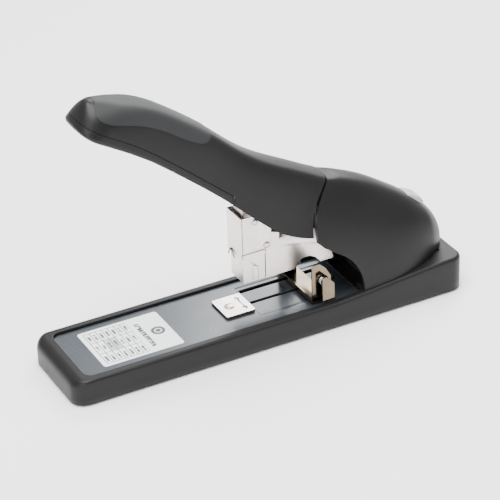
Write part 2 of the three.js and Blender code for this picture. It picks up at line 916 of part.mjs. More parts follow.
const housingFront = noseFront + GAP + housingSheet;
const housingSide = [
  [-housingFront, housingBottom],
  [housingRear - 6, housingBottom],
  ...arcPoints(housingRear - 5, housingBottom + 5, 5, 285, 360, 5),
  [housingRear, housingTop - 10],
  [housingRear - 3, housingTop],
  [-housingFront, housingTop],
];
const housing = cutAll(prismY(housingSide, -housingHalf, housingHalf), [
  box(
    -noseFront - GAP,
    housingRear + 1,
    -plateHalf - GAP,
    plateHalf + GAP,
    housingBottom - 1,
    housingTop + 1,
  ),
  ...rivetHoles,
]);
addPiece(works, "head_housing", housing, nickel);

rivetPlaces.forEach(([x, z], i) => {
  bothSides((side) => {
    const name = `head_rivet_${side > 0 ? "left" : "right"}_${i + 1}`;
    const inner = plateInner - 0.3;
    const outer = housingHalf + GAP;
    const shank = rodY(x, z, rivetRadius, inner, outer + 0.2, 16);
    const head = rodY(x, z, rivetRadius + rivetCap.over, outer, outer + rivetCap.height, 16);
    const rivet = shank.add(head);
    addPiece(works, name, side > 0 ? rivet : rivet.mirror([0, 1, 0]), nickel);
  });
});

// latch wire: bent spring wire on the front of the housing
const wireX = -housingFront - GAP - wireRadius;
const wirePath = new THREE.CatmullRomCurve3(
  [
    [7.9, 53.2],
    [6.6, 55.6],
    [5.2, 58.2],
    [3.2, 57.6],
    [1.2, 55.8],
    [-1.2, 54.4],
  ].map(([y, z]) => new THREE.Vector3(wireX, y, z)),
);
const wireSection = shapeOf(
  Array.from({ length: 6 }, (_, i) => {
    const angle = (i / 6) * 2 * Math.PI;
    return [wireRadius * Math.cos(angle), wireRadius * Math.sin(angle)];
  }),
);
addPiece(
  works,
  "latch_wire",
  toSolid(
    new THREE.ExtrudeGeometry(wireSection, {
      steps: 14,
      bevelEnabled: false,
      extrudePath: wirePath,
    }),
  ),
  springSteel,
);

// ---------- staple rail and pusher ----------
const railFront = noseSheet + 0.4;
const railOutline = [
  [railFront, magazineBottom + railDrop],
  [archStart + 6, magazineBottom + railDrop],
  [archStart + 6, archTop + 2],
  [railEnd, archTop + 5],
  [railEnd, railTop],
  [railFront, railTop],
];
const rail = prismY(railOutline, -railHalf, railHalf).subtract(
  box(
    railFront - 1,
    railEnd + 1,
    -railHalf + railSheet,
    railHalf - railSheet,
    0,
    railTop - railSheet,
  ),
);
addPiece(works, "staple_rail", rail, darkSteel);

const pusherHalf = plateInner - GAP;
const pusher = box(
  pusherFrom,
  pusherFrom + pusherLength,
  -pusherHalf,
  pusherHalf,
  railTop - pusherSkirt,
  pusherTop,
).subtract(
  box(
    pusherFrom - 1,
    pusherFrom + pusherLength + 1,
    -railHalf - GAP,
    railHalf + GAP,
    0,
    railTop + GAP,
  ),
);
const pusherTab = box(
  pusherFrom,
  pusherFrom + tabLength,
  -tabHalf,
  tabHalf,
  pusherTop - 0.5,
  rodHeight + rodRadius * 2,
).subtract(rodX(0, rodHeight, rodRadius + GAP, 0, pusherFrom + pusherLength));
addPiece(works, "staple_pusher", pusher.add(pusherTab), darkSteel);
addPiece(works, "pusher_rod", rodX(0, rodHeight, rodRadius, 2, springStop + 3), springSteel);
const pusherSpringFrom = pusherFrom + tabLength + GAP;
addPiece(
  works,
  "pusher_spring",
  toSolid(
    coil(pusherSpring, springStop - GAP - pusherSpringFrom, 8, 5)
      .rotateY(Math.PI / 2)
      .translate(pusherSpringFrom, 0, rodHeight),
  ),
  springSteel,
);

// ---------- driver ----------
const bladeBottom = noseBottom + driveStroke + 0.2;
const blade = box(
  -bladeSheet / 2,
  bladeSheet / 2,
  -crownWidth / 2 + bladePlay,
  crownWidth / 2 - bladePlay,
  bladeBottom,
  bladeTop,
);
addPiece(works, "driver_blade", blade, nickel);
const strikerHalf = plateInner - RUN;
const striker = cutAll(
  box(
    strikerFrom,
    strikerTo,
    -strikerHalf,
    strikerHalf,
    strikerBottom,
    strikerBottom + strikerHeight,
  ),
  [
    box(
      strikerFrom + strikerWeb,
      strikerTo + 1,
      -leverHalf - RUN,
      leverHalf + RUN,
      strikerBottom - 1,
      strikerBottom + strikerHeight + 1,
    ),
    box(
      drivePin.x - 2 - drivePin.r,
      strikerTo + 1,
      -strikerHalf - 1,
      strikerHalf + 1,
      drivePin.z - drivePin.r - 1,
      drivePin.z + drivePin.r + 1,
    ),
  ],
);
addPiece(works, "driver_striker", striker, brassTone);

// ---------- lever ----------
const leverAxis = Math.atan2(drivePin.z - handleHinge.z, handleHinge.x - drivePin.x);
const onLever = (along, out) => [
  handleHinge.x - along * Math.cos(leverAxis) + out * Math.sin(leverAxis),
  handleHinge.z + along * Math.sin(leverAxis) + out * Math.cos(leverAxis),
];
const leverReach = Math.hypot(handleHinge.x - drivePin.x, drivePin.z - handleHinge.z);
const leverOutline = [
  onLever(leverReach + 4, 4),
  onLever(leverReach + 4, -3),
  onLever(leverReach - 2, -leverDepth),
  onLever(12, -leverDepth),
  ...arcPoints(handleHinge.x, handleHinge.z, leverPinRim, 240, 430, 8),
  onLever(leverReach * 0.55, 13),
  [-2, 121],
  [-62, 165],
  [-82, 174],
  [-86, 168],
  [-60, 150],
  [-8, 113.6],
  [4, 108.2],
];
const leverWeb = [
  onLever(leverReach * 0.55, 13),
  [-2, 121],
  [-62, 165],
  [-82, 174],
  [-82.8, 172.6],
  [-62.8, 163.4],
  [-2.8, 119.4],
  onLever(leverReach * 0.55, 11.2),
];
const lever = cutAll(
  addAll([
    ...bothSides((side) => wallY(leverOutline, leverHalf - leverSheet, leverHalf, side)),
    prismY(leverWeb, -leverHalf, leverHalf),
  ]),
  [
    rodY(drivePin.x, drivePin.z, drivePin.r + GAP, -10, 10, 16),
    rodY(handleHinge.x, handleHinge.z, pinRadius + GAP, -10, 10),
  ],
);
addPiece(works, "lever_channel", lever, darkSteel);
addPiece(
  works,
  "drive_pin",
  rodY(drivePin.x, drivePin.z, drivePin.r, -strikerHalf + 0.2, strikerHalf - 0.2, 16),
  springSteel,
);
bothSides((side) => {
  const from = leverHalf + GAP;
  const to = bracketInner - GAP;
  const tube = rodY(handleHinge.x, handleHinge.z, pinRadius + spacerWall, from, to).subtract(
    rodY(handleHinge.x, handleHinge.z, pinRadius + GAP, 0, to + 1),
  );
  addPiece(
    works,
    `hinge_spacer_${side > 0 ? "left" : "right"}`,
    side > 0 ? tube : tube.mirror([0, 1, 0]),
    springSteel,
  );
});

const torsionFrom = leverHalf + handleSpring.inset;
addPiece(
  works,
  "handle_spring",
  toSolid(
    coil(handleSpring, bracketInner - handleSpring.inset - torsionFrom, 12, 6)
      .rotateX(-Math.PI / 2)
      .translate(handleHinge.x, torsionFrom, handleHinge.z),
  ),
  springSteel,
);

// ---------- handle shells and grip ----------
const handleTops = [
  [20, 17.5],
  [41, 13.5],
  [58.6, 11.1],
  [85, 7.6],
  [103, 7.2],
  [129, 9.5],
  [146.5, 10.3],
  [169.5, 10.1],
  [190, 7.9],
  [207, 2.9],
  [217, -3],
  [221.5, -8.5],
  [223.5, -13],
];
const handleLows = [
  [20, -19],
  [30, -23.1],
  [39, -26.3],
  [50, -28.6],
  [61, -29],
  [75, -27.7],
  [101, -24.7],
  [126, -22.6],
  [162, -20.6],
  [195, -20.6],
  [214, -21],
  [221, -19.4],
  [223.5, -17],
];
const handleBody = (shrink, openLow = false) => {
  const tipFrom = handleTip - handleRound;
  const stations = [
    ...Array.from({ length: 15 }, (_, i) => 22 + (i * (tipFrom - 22)) / 15),
    ...tipSteps(tipFrom, handleRound, 9),
  ].map((s) => {
    const past = Math.max(0, (s - tipFrom) / handleRound);
    const round = (1 - past ** tipPower) ** (1 / tipPower);
    const share = THREE.MathUtils.clamp((s - taperFrom) / taperLength, 0, 1);
    const half = THREE.MathUtils.lerp(handleRear, handleFront, share);
    return {
      at: s - shrink * past,
      top: along(handleTops, s) - shrink,
      low: openLow ? -60 : along(handleLows, s) + shrink,
      ridge: Math.max(0.4, (handleRidge - handleTipDrop * past) * round - shrink),
      half: Math.max(0.6, half * round - shrink),
      drop: handleRidgeDrop + handleTipDrop * past,
      corner: handleCorner,
      bulge: handleBulge * round,
    };
  });
  const cos = Math.cos(handleTilt);
  const sin = Math.sin(handleTilt);
  return loft(stations, (at, y, t) => [
    handleHinge.x - at * cos + t * sin,
    y,
    handleHinge.z + at * sin + t * cos,
  ]);
};

// lower shell: from the tip back to the hooked end of its seam
const seamLine = [
  [-125, 182.6],
  [-101.8, 180.3],
  [-88.6, 171.6],
  [-70.8, 159.1],
  [-52.7, 144.6],
  [-34.2, 129.2],
  [-20.1, 117.3],
  [-12.4, 110.4],
  [-10.6, 107.6],
  [-12.2, 104.6],
  [-22, 95],
];
const below = [
  [-22, 40],
  [-160, 40],
  [-160, 182.6],
];
const lowerOutline = [...seamLine, ...below];
const lowerRegion = prismY(lowerOutline, -60, 60);
const lowerSpace = prismY(inset(lowerOutline, -GAP), -60, 60);
const gripLow = smooth(
  [
    [-116, 196],
    [-100.8, 188.9],
    [-93.9, 182.9],
    [-85.9, 178.9],
    [-69.5, 173.5],
    [-55.8, 166.5],
    [-42, 157.1],
    [-35.5, 153.2],
    [-28.9, 151.2],
    [-24.1, 152.7],
    [-19.5, 158],
  ],
  24,
);
const gripOutline = [...gripLow, [-19.5, 230], [-140, 230], [-140, 196]];
const gripRegion = prismY(gripOutline, -60, 60);
const gripFill = prismY(inset(gripOutline, GAP), -60, 60);
const rearEdge = [
  ...arcPoints(handleHinge.x, handleHinge.z, seamRadius, 110, 250, 16),
  [200, -20],
  [200, 260],
];
const rearCut = prismY(rearEdge, -60, 60);
const hollowRear = prismY(
  [
    [-22 + shellWall, 20],
    [130, 20],
    [130, 150],
    [-22 + shellWall, 170],
  ],
  -60,
  60,
);
const outer = handleBody(0).subtract(rearCut);
const hollow = handleBody(shellWall).add(handleBody(shellWall, true).intersect(hollowRear));
const shell = outer.subtract(hollow);
const gripBed = handleBody(gripThickness);
const grip = outer.intersect(gripFill).subtract(gripBed);
const bed = outer.intersect(gripRegion).subtract(handleBody(gripThickness + GAP));
addPiece(works, "handle_upper_shell", shell.subtract(lowerSpace).subtract(bed), blackPlastic);
addPiece(works, "handle_lower_shell", shell.intersect(lowerRegion), blackPlastic);
addPiece(works, "grip_insert", grip, greyRubber);

// ---------- springs of the head and pusher ----------
const returnSpringLow = bracketTop + GAP;
addPiece(
  works,
  "head_spring",
  toSolid(
    coil(headSpring, springSeat - GAP - returnSpringLow, 10, 6).translate(
      springX,
      0,
      returnSpringLow,
    ),
  ),
  springSteel,
);

// ---------- paper stop ----------
const stopFront = stopX - stopLength / 2;
const stopLow = deckTop + GAP;
const stopSide = [
  [stopFront, stopLow],
  [stopFront, stopTop - 3],
  [stopFront + 1, stopTop],
  [stopFront + 5.5, stopTop],
  [stopFront + 10, stopTop - 4],
  [stopFront + stopLength, stopTop - 11],
  [stopFront + stopLength, stopLow],
];
const stopCentre = stopFront + buttonX + 3;
const stemHole = rodY(stopCentre, buttonZ, buttonStem + GAP, -60, 60, 16);
const tongue = (y, width) =>
  box(
    stopX - tongueHalf,
    stopX + tongueHalf,
    y - width / 2 + RUN,
    y + width / 2 - RUN,
    shelf - baseFloor - tonguePast,
    stopLow + 0.5,
  );
const stopFrame = cutAll(
  addAll([
    box(stopFront, stopFront + stopLength, -stopHalf, stopHalf, stopLow, stopLow + stopSheet),
    box(stopFront, stopFront + stopSheet, -stopHalf, stopHalf, stopLow, stopLow + stopFence),
    ...bothSides((side) => wallY(stopSide, stopHalf - stopSheet, stopHalf, side)),
    tongue(0, centreSlotWidth),
    tongue(sideSlotY, sideSlotWidth),
  ]),
  [stemHole],
);
addPiece(works, "stop_frame", stopFrame, nickel);
const clampHigh = shelf - baseFloor - GAP;
const stopClamp = cutAll(
  prismZ(
    roundedRect(
      stopX - clampHalf,
      stopX + clampHalf,
      -clampSide,
      sideSlotY + clampSide,
      3,
      3,
    ),
    clampHigh - stopSheet,
    clampHigh,
  ),
  [
    [0, centreSlotWidth],
    [sideSlotY, sideSlotWidth],
  ].map(([y, width]) =>
    box(
      stopX - tongueHalf - GAP,
      stopX + tongueHalf + GAP,
      y - width / 2,
      y + width / 2,
      0,
      clampHigh + 1,
    ),
  ),
);
addPiece(works, "stop_clamp", stopClamp, darkSteel);

// the wings clear the rising rim and the deck
const wingLow = Math.max(rimFrom(stopFront + stopLength + stopTravel), deckTop) + GAP;
const collar = stopHalf - stopSheet - GAP;
bothSides((side) => {
  const sideName = side > 0 ? "left" : "right";
  const wing = [
    [stopFront + 5, wingLow],
    [stopFront + 5, stopTop - 9],
    [stopFront + 8, stopTop - 8],
    [stopFront + stopLength, stopTop - 14],
    [stopFront + stopLength, wingLow],
  ];
  const button = prismY(wing, buttonReach - stopSheet, buttonReach)
    .add(rodY(stopCentre, buttonZ, buttonStem, collar - collarLength, buttonReach - 0.2, 16))
    .add(rodY(stopCentre, buttonZ, buttonStem + collarOver, collar - collarLength, collar, 16));
  addPiece(
    works,
    `stop_button_${sideName}`,
    side > 0 ? button : button.mirror([0, 1, 0]),
    nickel,
  );
  const from = stopHalf + GAP;
  const spring = toSolid(
    coil(stopSpring, buttonReach - stopSheet - GAP - from, 10, 5)
      .rotateX(-Math.PI / 2)
      .translate(stopCentre, from, buttonZ),
  );
  addPiece(
    works,
    `stop_spring_${sideName}`,
    side > 0 ? spring : spring.mirror([0, 1, 0]),
    springSteel,
  );
});

export default stapler;
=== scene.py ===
"""Visible surfaces, finishes and stage of a heavy-duty desktop stapler, round its packed mechanical model.

Lengths are in metres. +X runs from the grip to the rear cover, +Y to the left, +Z up, and the origin is
the middle of the footprint.
"""

import json
import math

import bmesh
import bpy
import mathutils
import numpy as np
from bpy.props import FloatProperty, FloatVectorProperty, PointerProperty
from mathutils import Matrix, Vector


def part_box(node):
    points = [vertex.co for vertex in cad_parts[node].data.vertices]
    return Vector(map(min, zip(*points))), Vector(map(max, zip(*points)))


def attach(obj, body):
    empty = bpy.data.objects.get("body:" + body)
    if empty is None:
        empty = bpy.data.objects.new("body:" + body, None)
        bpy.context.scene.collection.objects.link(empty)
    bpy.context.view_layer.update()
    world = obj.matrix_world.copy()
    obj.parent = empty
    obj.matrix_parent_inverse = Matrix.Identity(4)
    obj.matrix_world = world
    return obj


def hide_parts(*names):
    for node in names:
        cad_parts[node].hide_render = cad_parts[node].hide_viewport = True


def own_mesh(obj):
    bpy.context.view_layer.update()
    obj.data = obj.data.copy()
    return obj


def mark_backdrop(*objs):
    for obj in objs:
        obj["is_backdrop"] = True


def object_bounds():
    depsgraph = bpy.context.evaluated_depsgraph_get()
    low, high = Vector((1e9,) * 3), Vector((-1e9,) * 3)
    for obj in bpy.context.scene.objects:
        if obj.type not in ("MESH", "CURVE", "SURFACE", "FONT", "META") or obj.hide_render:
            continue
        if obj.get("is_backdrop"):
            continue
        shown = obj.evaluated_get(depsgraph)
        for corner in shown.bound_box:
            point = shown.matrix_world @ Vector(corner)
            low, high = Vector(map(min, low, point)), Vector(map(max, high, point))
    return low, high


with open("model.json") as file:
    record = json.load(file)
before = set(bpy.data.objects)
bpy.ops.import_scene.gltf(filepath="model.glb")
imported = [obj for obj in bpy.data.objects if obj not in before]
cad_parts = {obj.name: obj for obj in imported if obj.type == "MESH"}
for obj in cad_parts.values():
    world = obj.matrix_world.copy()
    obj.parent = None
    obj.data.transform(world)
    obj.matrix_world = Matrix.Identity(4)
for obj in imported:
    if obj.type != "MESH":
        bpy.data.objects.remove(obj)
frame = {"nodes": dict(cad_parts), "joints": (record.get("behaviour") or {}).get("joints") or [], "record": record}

bl_info = {
    "name": "Desktop Stapler",
    "version": (1, 0, 0),
    "blender": (4, 5, 0),
    "location": "3D View > Sidebar > Stapler",
    "description": "Builds the shells, metal parts, finishes and stage of a heavy-duty desktop stapler",
    "category": "Add Mesh",
}

MM = 0.001
CAD_LOW, CAD_HIGH = (np.array(corner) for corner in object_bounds())
BODY_OF = {n: body for body, names in frame["record"]["behaviour"]["bodies"].items() for n in names}
SLOT_OF = {part["node"]: part["material_slot"] for part in frame["record"]["subparts"]}
JOINTS = {joint["name"]: joint for joint in frame["joints"]}
HANDLE_PIN = np.array(JOINTS["handle_press"]["pos_m"])
DECK_LOW, DECK_HIGH = (np.array(corner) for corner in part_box("deck_plate"))
HOUSING_LOW, HOUSING_HIGH = (np.array(corner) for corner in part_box("head_housing"))
FINISHES = {}


# ---------- sizes and colours ----------
class BaseSizes(bpy.types.PropertyGroup):
    """Sizes of the base"""

    corner: FloatProperty(
        name="Corner", description="Plan radius of the base's corners", default=10 * MM, unit="LENGTH"
    )
    front_round: FloatProperty(
        name="Front rounding", description="Radius of the front top edge", default=7 * MM, unit="LENGTH"
    )
    side_round: FloatProperty(
        name="Side rounding", description="Radius of the long top edges", default=2.4 * MM, unit="LENGTH"
    )
    rear_round: FloatProperty(
        name="Rear rounding", description="Radius of the rear top edge", default=3 * MM, unit="LENGTH"
    )
    wall: FloatProperty(
        name="Wall",
        description="Thickness of the outer wall",
        default=3 * MM,
        unit="LENGTH",
    )
    floor: FloatProperty(
        name="Shelf", description="Thickness of the shelf under the deck", default=2.5 * MM, unit="LENGTH"
    )
    rim_height: FloatProperty(
        name="Rim height",
        description="Height of the rim beside the deck",
        default=18.5 * MM,
        unit="LENGTH",
    )
    rear_height: FloatProperty(
        name="Rear height", description="Height of the rim at the rear", default=25.5 * MM, unit="LENGTH"
    )
    rise_start: FloatProperty(
        name="Rise start",
        description="Where the rim starts to rise, along X",
        default=43.7 * MM,
        unit="LENGTH",
    )
    rise_end: FloatProperty(
        name="Rise end", description="Where the rim stops rising, along X", default=130 * MM, unit="LENGTH"
    )
    slot_play: FloatProperty(
        name="Slot play",
        description="Room round the deck's slots in the shelf",
        default=0.5 * MM,
        unit="LENGTH",
    )


class HandleSizes(bpy.types.PropertyGroup):
    """Sizes of the handle"""

    tilt: FloatProperty(
        name="Tilt", description="Slope of the handle's axis", default=math.radians(36), subtype="ANGLE"
    )
    wall: FloatProperty(
        name="Wall",
        description="Thickness of the shells",
        default=2.6 * MM,
        unit="LENGTH",
    )
    seam_radius: FloatProperty(
        name="Seam radius", description="Rear edge about the hinge pin", default=39 * MM, unit="LENGTH"
    )
    ridge: FloatProperty(
        name="Ridge", description="Half width of the top face", default=13 * MM, unit="LENGTH"
    )
    rear_half: FloatProperty(
        name="Rear half width",
        description="Half width of the sides at the rear",
        default=24 * MM,
        unit="LENGTH",
    )
    front_half: FloatProperty(
        name="Front half width",
        description="Half width of the sides at the grip",
        default=18.5 * MM,
        unit="LENGTH",
    )
    tip: FloatProperty(
        name="Tip", description="Distance of the tip from the hinge pin", default=220 * MM, unit="LENGTH"
    )
    tip_round: FloatProperty(
        name="Tip rounding", description="Length of the rounded tip", default=17 * MM, unit="LENGTH"
    )
    seam_gap: FloatProperty(
        name="Seam gap", description="Gap between the two shells", default=0.35 * MM, unit="LENGTH"
    )


class CoverSizes(bpy.types.PropertyGroup):
    """Sizes of the rear cover"""

    seam_radius: FloatProperty(
        name="Seam radius", description="Front edge about the hinge pin", default=37 * MM, unit="LENGTH"
    )
    rear: FloatProperty(
        name="Rear end",
        description="Rear end of the cover, along X",
        default=140 * MM,
        unit="LENGTH",
    )
    half: FloatProperty(
        name="Half width",
        description="Half width of its foot",
        default=31 * MM,
        unit="LENGTH",
    )
    long_axis: FloatProperty(
        name="Rear rounding",
        description="Length over which its plan rounds to the rear",
        default=55 * MM,
        unit="LENGTH",
    )
    ridge: FloatProperty(
        name="Ridge",
        description="Half width of its top face",
        default=14 * MM,
        unit="LENGTH",
    )
    wall: FloatProperty(
        name="Wall",
        description="Thickness of the moulding",
        default=2.4 * MM,
        unit="LENGTH",
    )


class Colours(bpy.types.PropertyGroup):
    """Colours of the materials"""

    black: FloatVectorProperty(
        name="Black plastic",
        description="Shells and base",
        default=(0.006, 0.0058, 0.006),
        subtype="COLOR",
        size=3,
    )
    grip: FloatVectorProperty(
        name="Grip",
        description="Soft grip on the handle",
        default=(0.015, 0.016, 0.0165),
        subtype="COLOR",
        size=3,
    )
    deck: FloatVectorProperty(
        name="Deck paint",
        description="Slate-grey deck",
        default=(0.035, 0.045, 0.055),
        subtype="COLOR",
        size=3,
    )
    nickel: FloatVectorProperty(
        name="Nickel",
        description="Bright plated parts",
        default=(0.72, 0.66, 0.63),
        subtype="COLOR",
        size=3,
    )
    label: FloatVectorProperty(
        name="Label film",
        description="Background of the label",
        default=(0.86, 0.88, 0.89),
        subtype="COLOR",
        size=3,
    )
    ink: FloatVectorProperty(
        name="Label ink",
        description="Printed rules and bars",
        default=(0.025, 0.025, 0.03),
        subtype="COLOR",
        size=3,
    )


class StageSettings(bpy.types.PropertyGroup):
    """Place and lens of the camera"""

    azimuth: FloatProperty(
        name="Azimuth",
        description="Camera's bearing, 0 looks along +Y",
        default=math.radians(-27.24),
        subtype="ANGLE",
    )
    elevation: FloatProperty(
        name="Elevation",
        description="Camera's height above the horizon",
        default=math.radians(30.46),
        subtype="ANGLE",
    )
    roll: FloatProperty(
        name="Roll",
        description="Camera's roll",
        default=math.radians(-1.83),
        subtype="ANGLE",
    )
    distance: FloatProperty(
        name="Distance",
        description="Camera to its target",
        default=1.467,
        unit="LENGTH",
    )
    lens: FloatProperty(name="Lens", description="Focal length in millimetres", default=164.4)
    drop: FloatProperty(
        name="Target drop",
        description="Target below the middle of the object",
        default=39.8 * MM,
        unit="LENGTH",
    )


SETTINGS = {
    "stapler_base": BaseSizes,
    "stapler_handle": HandleSizes,
    "stapler_cover": CoverSizes,
    "stapler_colours": Colours,
    "stapler_stage": StageSettings,
}


# ---------- curves ----------
def curve(points, at):
    """Value at each position of a smooth line through (position, value) pairs.

    A cubic joins neighbours, and its slope at a pair is that of the line between the pairs on either side.
    """
    x, y = np.array(points, float).T
    at = np.asarray(at, float)
    order = np.arange(len(x))
    before, after = np.maximum(order - 1, 0), np.minimum(order + 1, len(x) - 1)
    slope = (y[after] - y[before]) / (x[after] - x[before])
    k = np.clip(np.searchsorted(x, at, side="right") - 1, 0, len(x) - 2)
    span = x[k + 1] - x[k]
    t = np.clip((at - x[k]) / span, 0, 1)
    start = y[k] * (2 * t**3 - 3 * t**2 + 1) + slope[k] * span * (t**3 - 2 * t**2 + t)
    return start + y[k + 1] * (3 * t**2 - 2 * t**3) + slope[k + 1] * span * (t**3 - t**2)


def spline(points, count):
    """A smooth open line of `count` points through the given ones, spread evenly along its chords."""
    points = np.array(points, float)
    chord = np.concatenate([[0], np.cumsum(np.linalg.norm(np.diff(points, axis=0), axis=1))])
    at = np.linspace(0, chord[-1], count)
    return np.stack([curve(np.stack([chord, column], 1), at) for column in points.T], 1)


def ramp(value, low, high):
    """0 below `low`, 1 above `high`, with a smooth cubic between."""
    t = np.clip((value - low) / (high - low), 0, 1)
    return t * t * (3 - 2 * t)


def eased_ends(count, ease=1.0):
    """`count` shares from 0 to 1 that crowd towards 1 as a quarter circle's points do."""
    t = np.linspace(0, 1, count)
    return (1 - ease) * t + ease * np.sin(t * math.pi / 2)


# ---------- meshes ----------
def quads(rows, cols, wrap=False):
    """Faces of a grid of points; wrap joins the last column to the first."""
    r = np.arange(rows - 1)[:, None]
    c = np.arange(cols if wrap else cols - 1)[None, :]
    n = (c + 1) % cols
    corners = (r * cols + c, r * cols + n, (r + 1) * cols + n, (r + 1) * cols + c)
    return np.stack(np.broadcast_arrays(*corners), -1).reshape(-1, 4)


def mesh_from(name, points, faces, join=2e-6):
    """A mesh from points and faces, its doubled points joined and its faces turned outwards."""
    mesh = bpy.data.meshes.new(name)
    mesh.from_pydata(np.asarray(points, float).reshape(-1, 3), [], [list(map(int, f)) for f in faces])
    shape = bmesh.new()
    shape.from_mesh(mesh)
    bmesh.ops.remove_doubles(shape, verts=shape.verts, dist=join)
    if shape.calc_volume(signed=True) < 0:
        bmesh.ops.reverse_faces(shape, faces=shape.faces)
    shape.to_mesh(mesh)
    shape.free()
    return mesh


def walled(name, outer, inner, ends=(True, True), sides=(True, True)):
    """A closed wall between two grids of one shape, with a strip along each open end and side."""
    rows, cols = outer.shape[:2]
    total = rows * cols
    index = np.arange(total).reshape(rows, cols)
    skin = quads(rows, cols)
    faces = [skin, skin[:, ::-1] + total]
    open_edges = [
        (ends[0], index[0]),
        (sides[1], index[:, -1]),
        (ends[1], index[-1, ::-1]),
        (sides[0], index[::-1, 0]),
    ]
    for is_open, edge in open_edges:
        if is_open:
            a, b = edge[:-1], edge[1:]
            faces.append(np.stack([b, a, a + total, b + total], 1))
    points = np.concatenate([outer.reshape(-1, 3), inner.reshape(-1, 3)])
    return mesh_from(name, points, np.concatenate(faces))


def turned(name, profile, centre, axis="Z", steps=40):
    """A profile of (radius, height) pairs, from axis to axis, turned about the axis through `centre`."""
    profile = np.array(profile, float)
    angle = np.linspace(0, 2 * math.pi, steps, endpoint=False)[None, :]
    radius, height = profile[:, :1], profile[:, 1:]
    round_x, round_y = radius * np.cos(angle), radius * np.sin(angle)
    along = height + 0 * angle
    order = {"Z": (round_x, round_y, along), "Y": (round_y, along, round_x), "X": (along, round_x, round_y)}
    points = np.stack(order[axis], -1) + np.array(centre)
    return mesh_from(name, points, quads(len(profile), steps, wrap=True))


def tube(name, path, radius, across, sides=12):
    """A round wire along a path: each ring lies in the plane of `across` and what is square to both."""
    path, across = np.array(path, float), np.broadcast_to(np.array(across, float), np.shape(path))
    ahead = np.gradient(path, axis=0)
    ahead /= np.linalg.norm(ahead, axis=1, keepdims=True)
    up = np.cross(ahead, across)
    up /= np.linalg.norm(up, axis=1, keepdims=True)
    side = np.cross(up, ahead)
    angle = np.linspace(0, 2 * math.pi, sides, endpoint=False)[None, :, None]
    rings = path[:, None, :] + radius * (np.cos(angle) * side[:, None, :] + np.sin(angle) * up[:, None, :])
    caps = [range(sides), range((len(path) - 1) * sides, len(path) * sides)[::-1]]
    faces = [list(f) for f in quads(len(path), sides, wrap=True)] + [list(cap) for cap in caps]
    return mesh_from(name, rings, faces)


def add_piece(name, mesh, node, also=(), finish=None, bevel=0.0, sharp=40, segments=2, body=None):
    """A finished piece in a node's place: smooth but for its sharp edges, which get a rounding."""
    piece = bpy.data.objects.new(name, mesh)
    bpy.context.scene.collection.objects.link(piece)
    mesh.polygons.foreach_set("use_smooth", np.ones(len(mesh.polygons), bool))
    mesh.set_sharp_from_angle(angle=math.radians(sharp))
    mesh.materials.clear()
    mesh.materials.append(FINISHES[finish or SLOT_OF[node]])
    if bevel:
        rounding = piece.modifiers.new("edge_rounding", "BEVEL")
        rounding.width = bevel
        rounding.segments = segments
        rounding.limit_method = "ANGLE"
        rounding.angle_limit = math.radians(sharp)
        rounding.harden_normals = True
        rounding.miter_outer = "MITER_ARC"
    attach(piece, body or BODY_OF[node])
    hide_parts(node, *also)
    return piece


def copy_of(node):
    """A CAD node's mesh with its loose triangles joined and its flat faces made whole."""
    mesh = frame["nodes"][node].data.copy()
    shape = bmesh.new()
    shape.from_mesh(mesh)
    bmesh.ops.remove_doubles(shape, verts=shape.verts, dist=3e-6)
    bmesh.ops.dissolve_limit(shape, angle_limit=math.radians(0.8), verts=shape.verts, edges=shape.edges)
    shape.to_mesh(mesh)
    shape.free()
    return mesh


def cut(mesh, cutters):
    """The mesh less each cutter mesh, by exact booleans."""
    whole = bpy.data.objects.new("whole", mesh)
    tools = [bpy.data.objects.new(f"tool_{i}", cutter) for i, cutter in enumerate(cutters)]
    for o in [whole, *tools]:
        bpy.context.scene.collection.objects.link(o)
    for o in tools:
        boolean = whole.modifiers.new("cut", "BOOLEAN")
        boolean.operation = "DIFFERENCE"
        boolean.solver = "EXACT"
        boolean.object = o
    bpy.context.view_layer.update()
    evaluated = whole.evaluated_get(bpy.context.evaluated_depsgraph_get())
    result = bpy.data.meshes.new_from_object(evaluated)
    for o in [whole, *tools]:
        bpy.data.objects.remove(o)
    return result


def block(low, high, turn=0.0, about=(0, 0, 0)):
    """A box between two corners, turned about the Y direction through a point, for cutting."""
    low, high = np.array(low, float), np.array(high, float)
    corners = np.array([[i, j, k] for i in (0, 1) for j in (0, 1) for k in (0, 1)], float)
    points = low + (high - low) * corners - np.array(about)
    c, s = math.cos(turn), math.sin(turn)
    spin = np.array([[c, 0, s], [0, 1, 0], [-s, 0, c]])
    faces = [(0, 1, 3, 2), (4, 6, 7, 5), (0, 4, 5, 1), (2, 3, 7, 6), (0, 2, 6, 4), (1, 5, 7, 3)]
    return mesh_from("block", points @ spin.T + np.array(about), faces)


SECTION_POWER = 8


def section(turn, top, foot, ridge, half, bulge, crown, power):
    """Height and half width of a moulding's outside, at an angle from its foot (0) to its crown (pi / 2).

    It is a superellipse, whose width shrinks from the foot's to the ridge's as it rises, with a swell between
    and a low crown on top.
    """
    c, s = np.abs(np.cos(turn)), np.abs(np.sin(turn))
    radius = (c**power + s**power) ** (-1 / power)
    rise, reach = radius * s, radius * c
    width = ridge + (half - ridge) * (1 - rise) + bulge * np.sin(math.pi * np.clip(rise, 0, 1))
    return foot + (top - foot) * rise - crown * reach**2 * rise**4, reach * width


def angle_at(height, top, foot, power):
    """The section's angle at which it reaches a height."""
    rise = np.clip((height - foot) / np.maximum(top - foot, 0.01 * MM), 0, 1)
    return np.arctan2(rise, (1 - rise**power) ** (1 / power))


# ---------- shader groups and finishes ----------
def add_node(tree, kind, inputs=None, **settings):
    """A shader node with its settings; each input is a value or another node's output."""
    node = tree.nodes.new(kind)
    for name, value in settings.items():
        setattr(node, name, value)
    for key, value in (inputs or {}).items():
        if isinstance(value, bpy.types.NodeSocket):
            tree.links.new(value, node.inputs[key])
        else:
            node.inputs[key].default_value = value
    return node


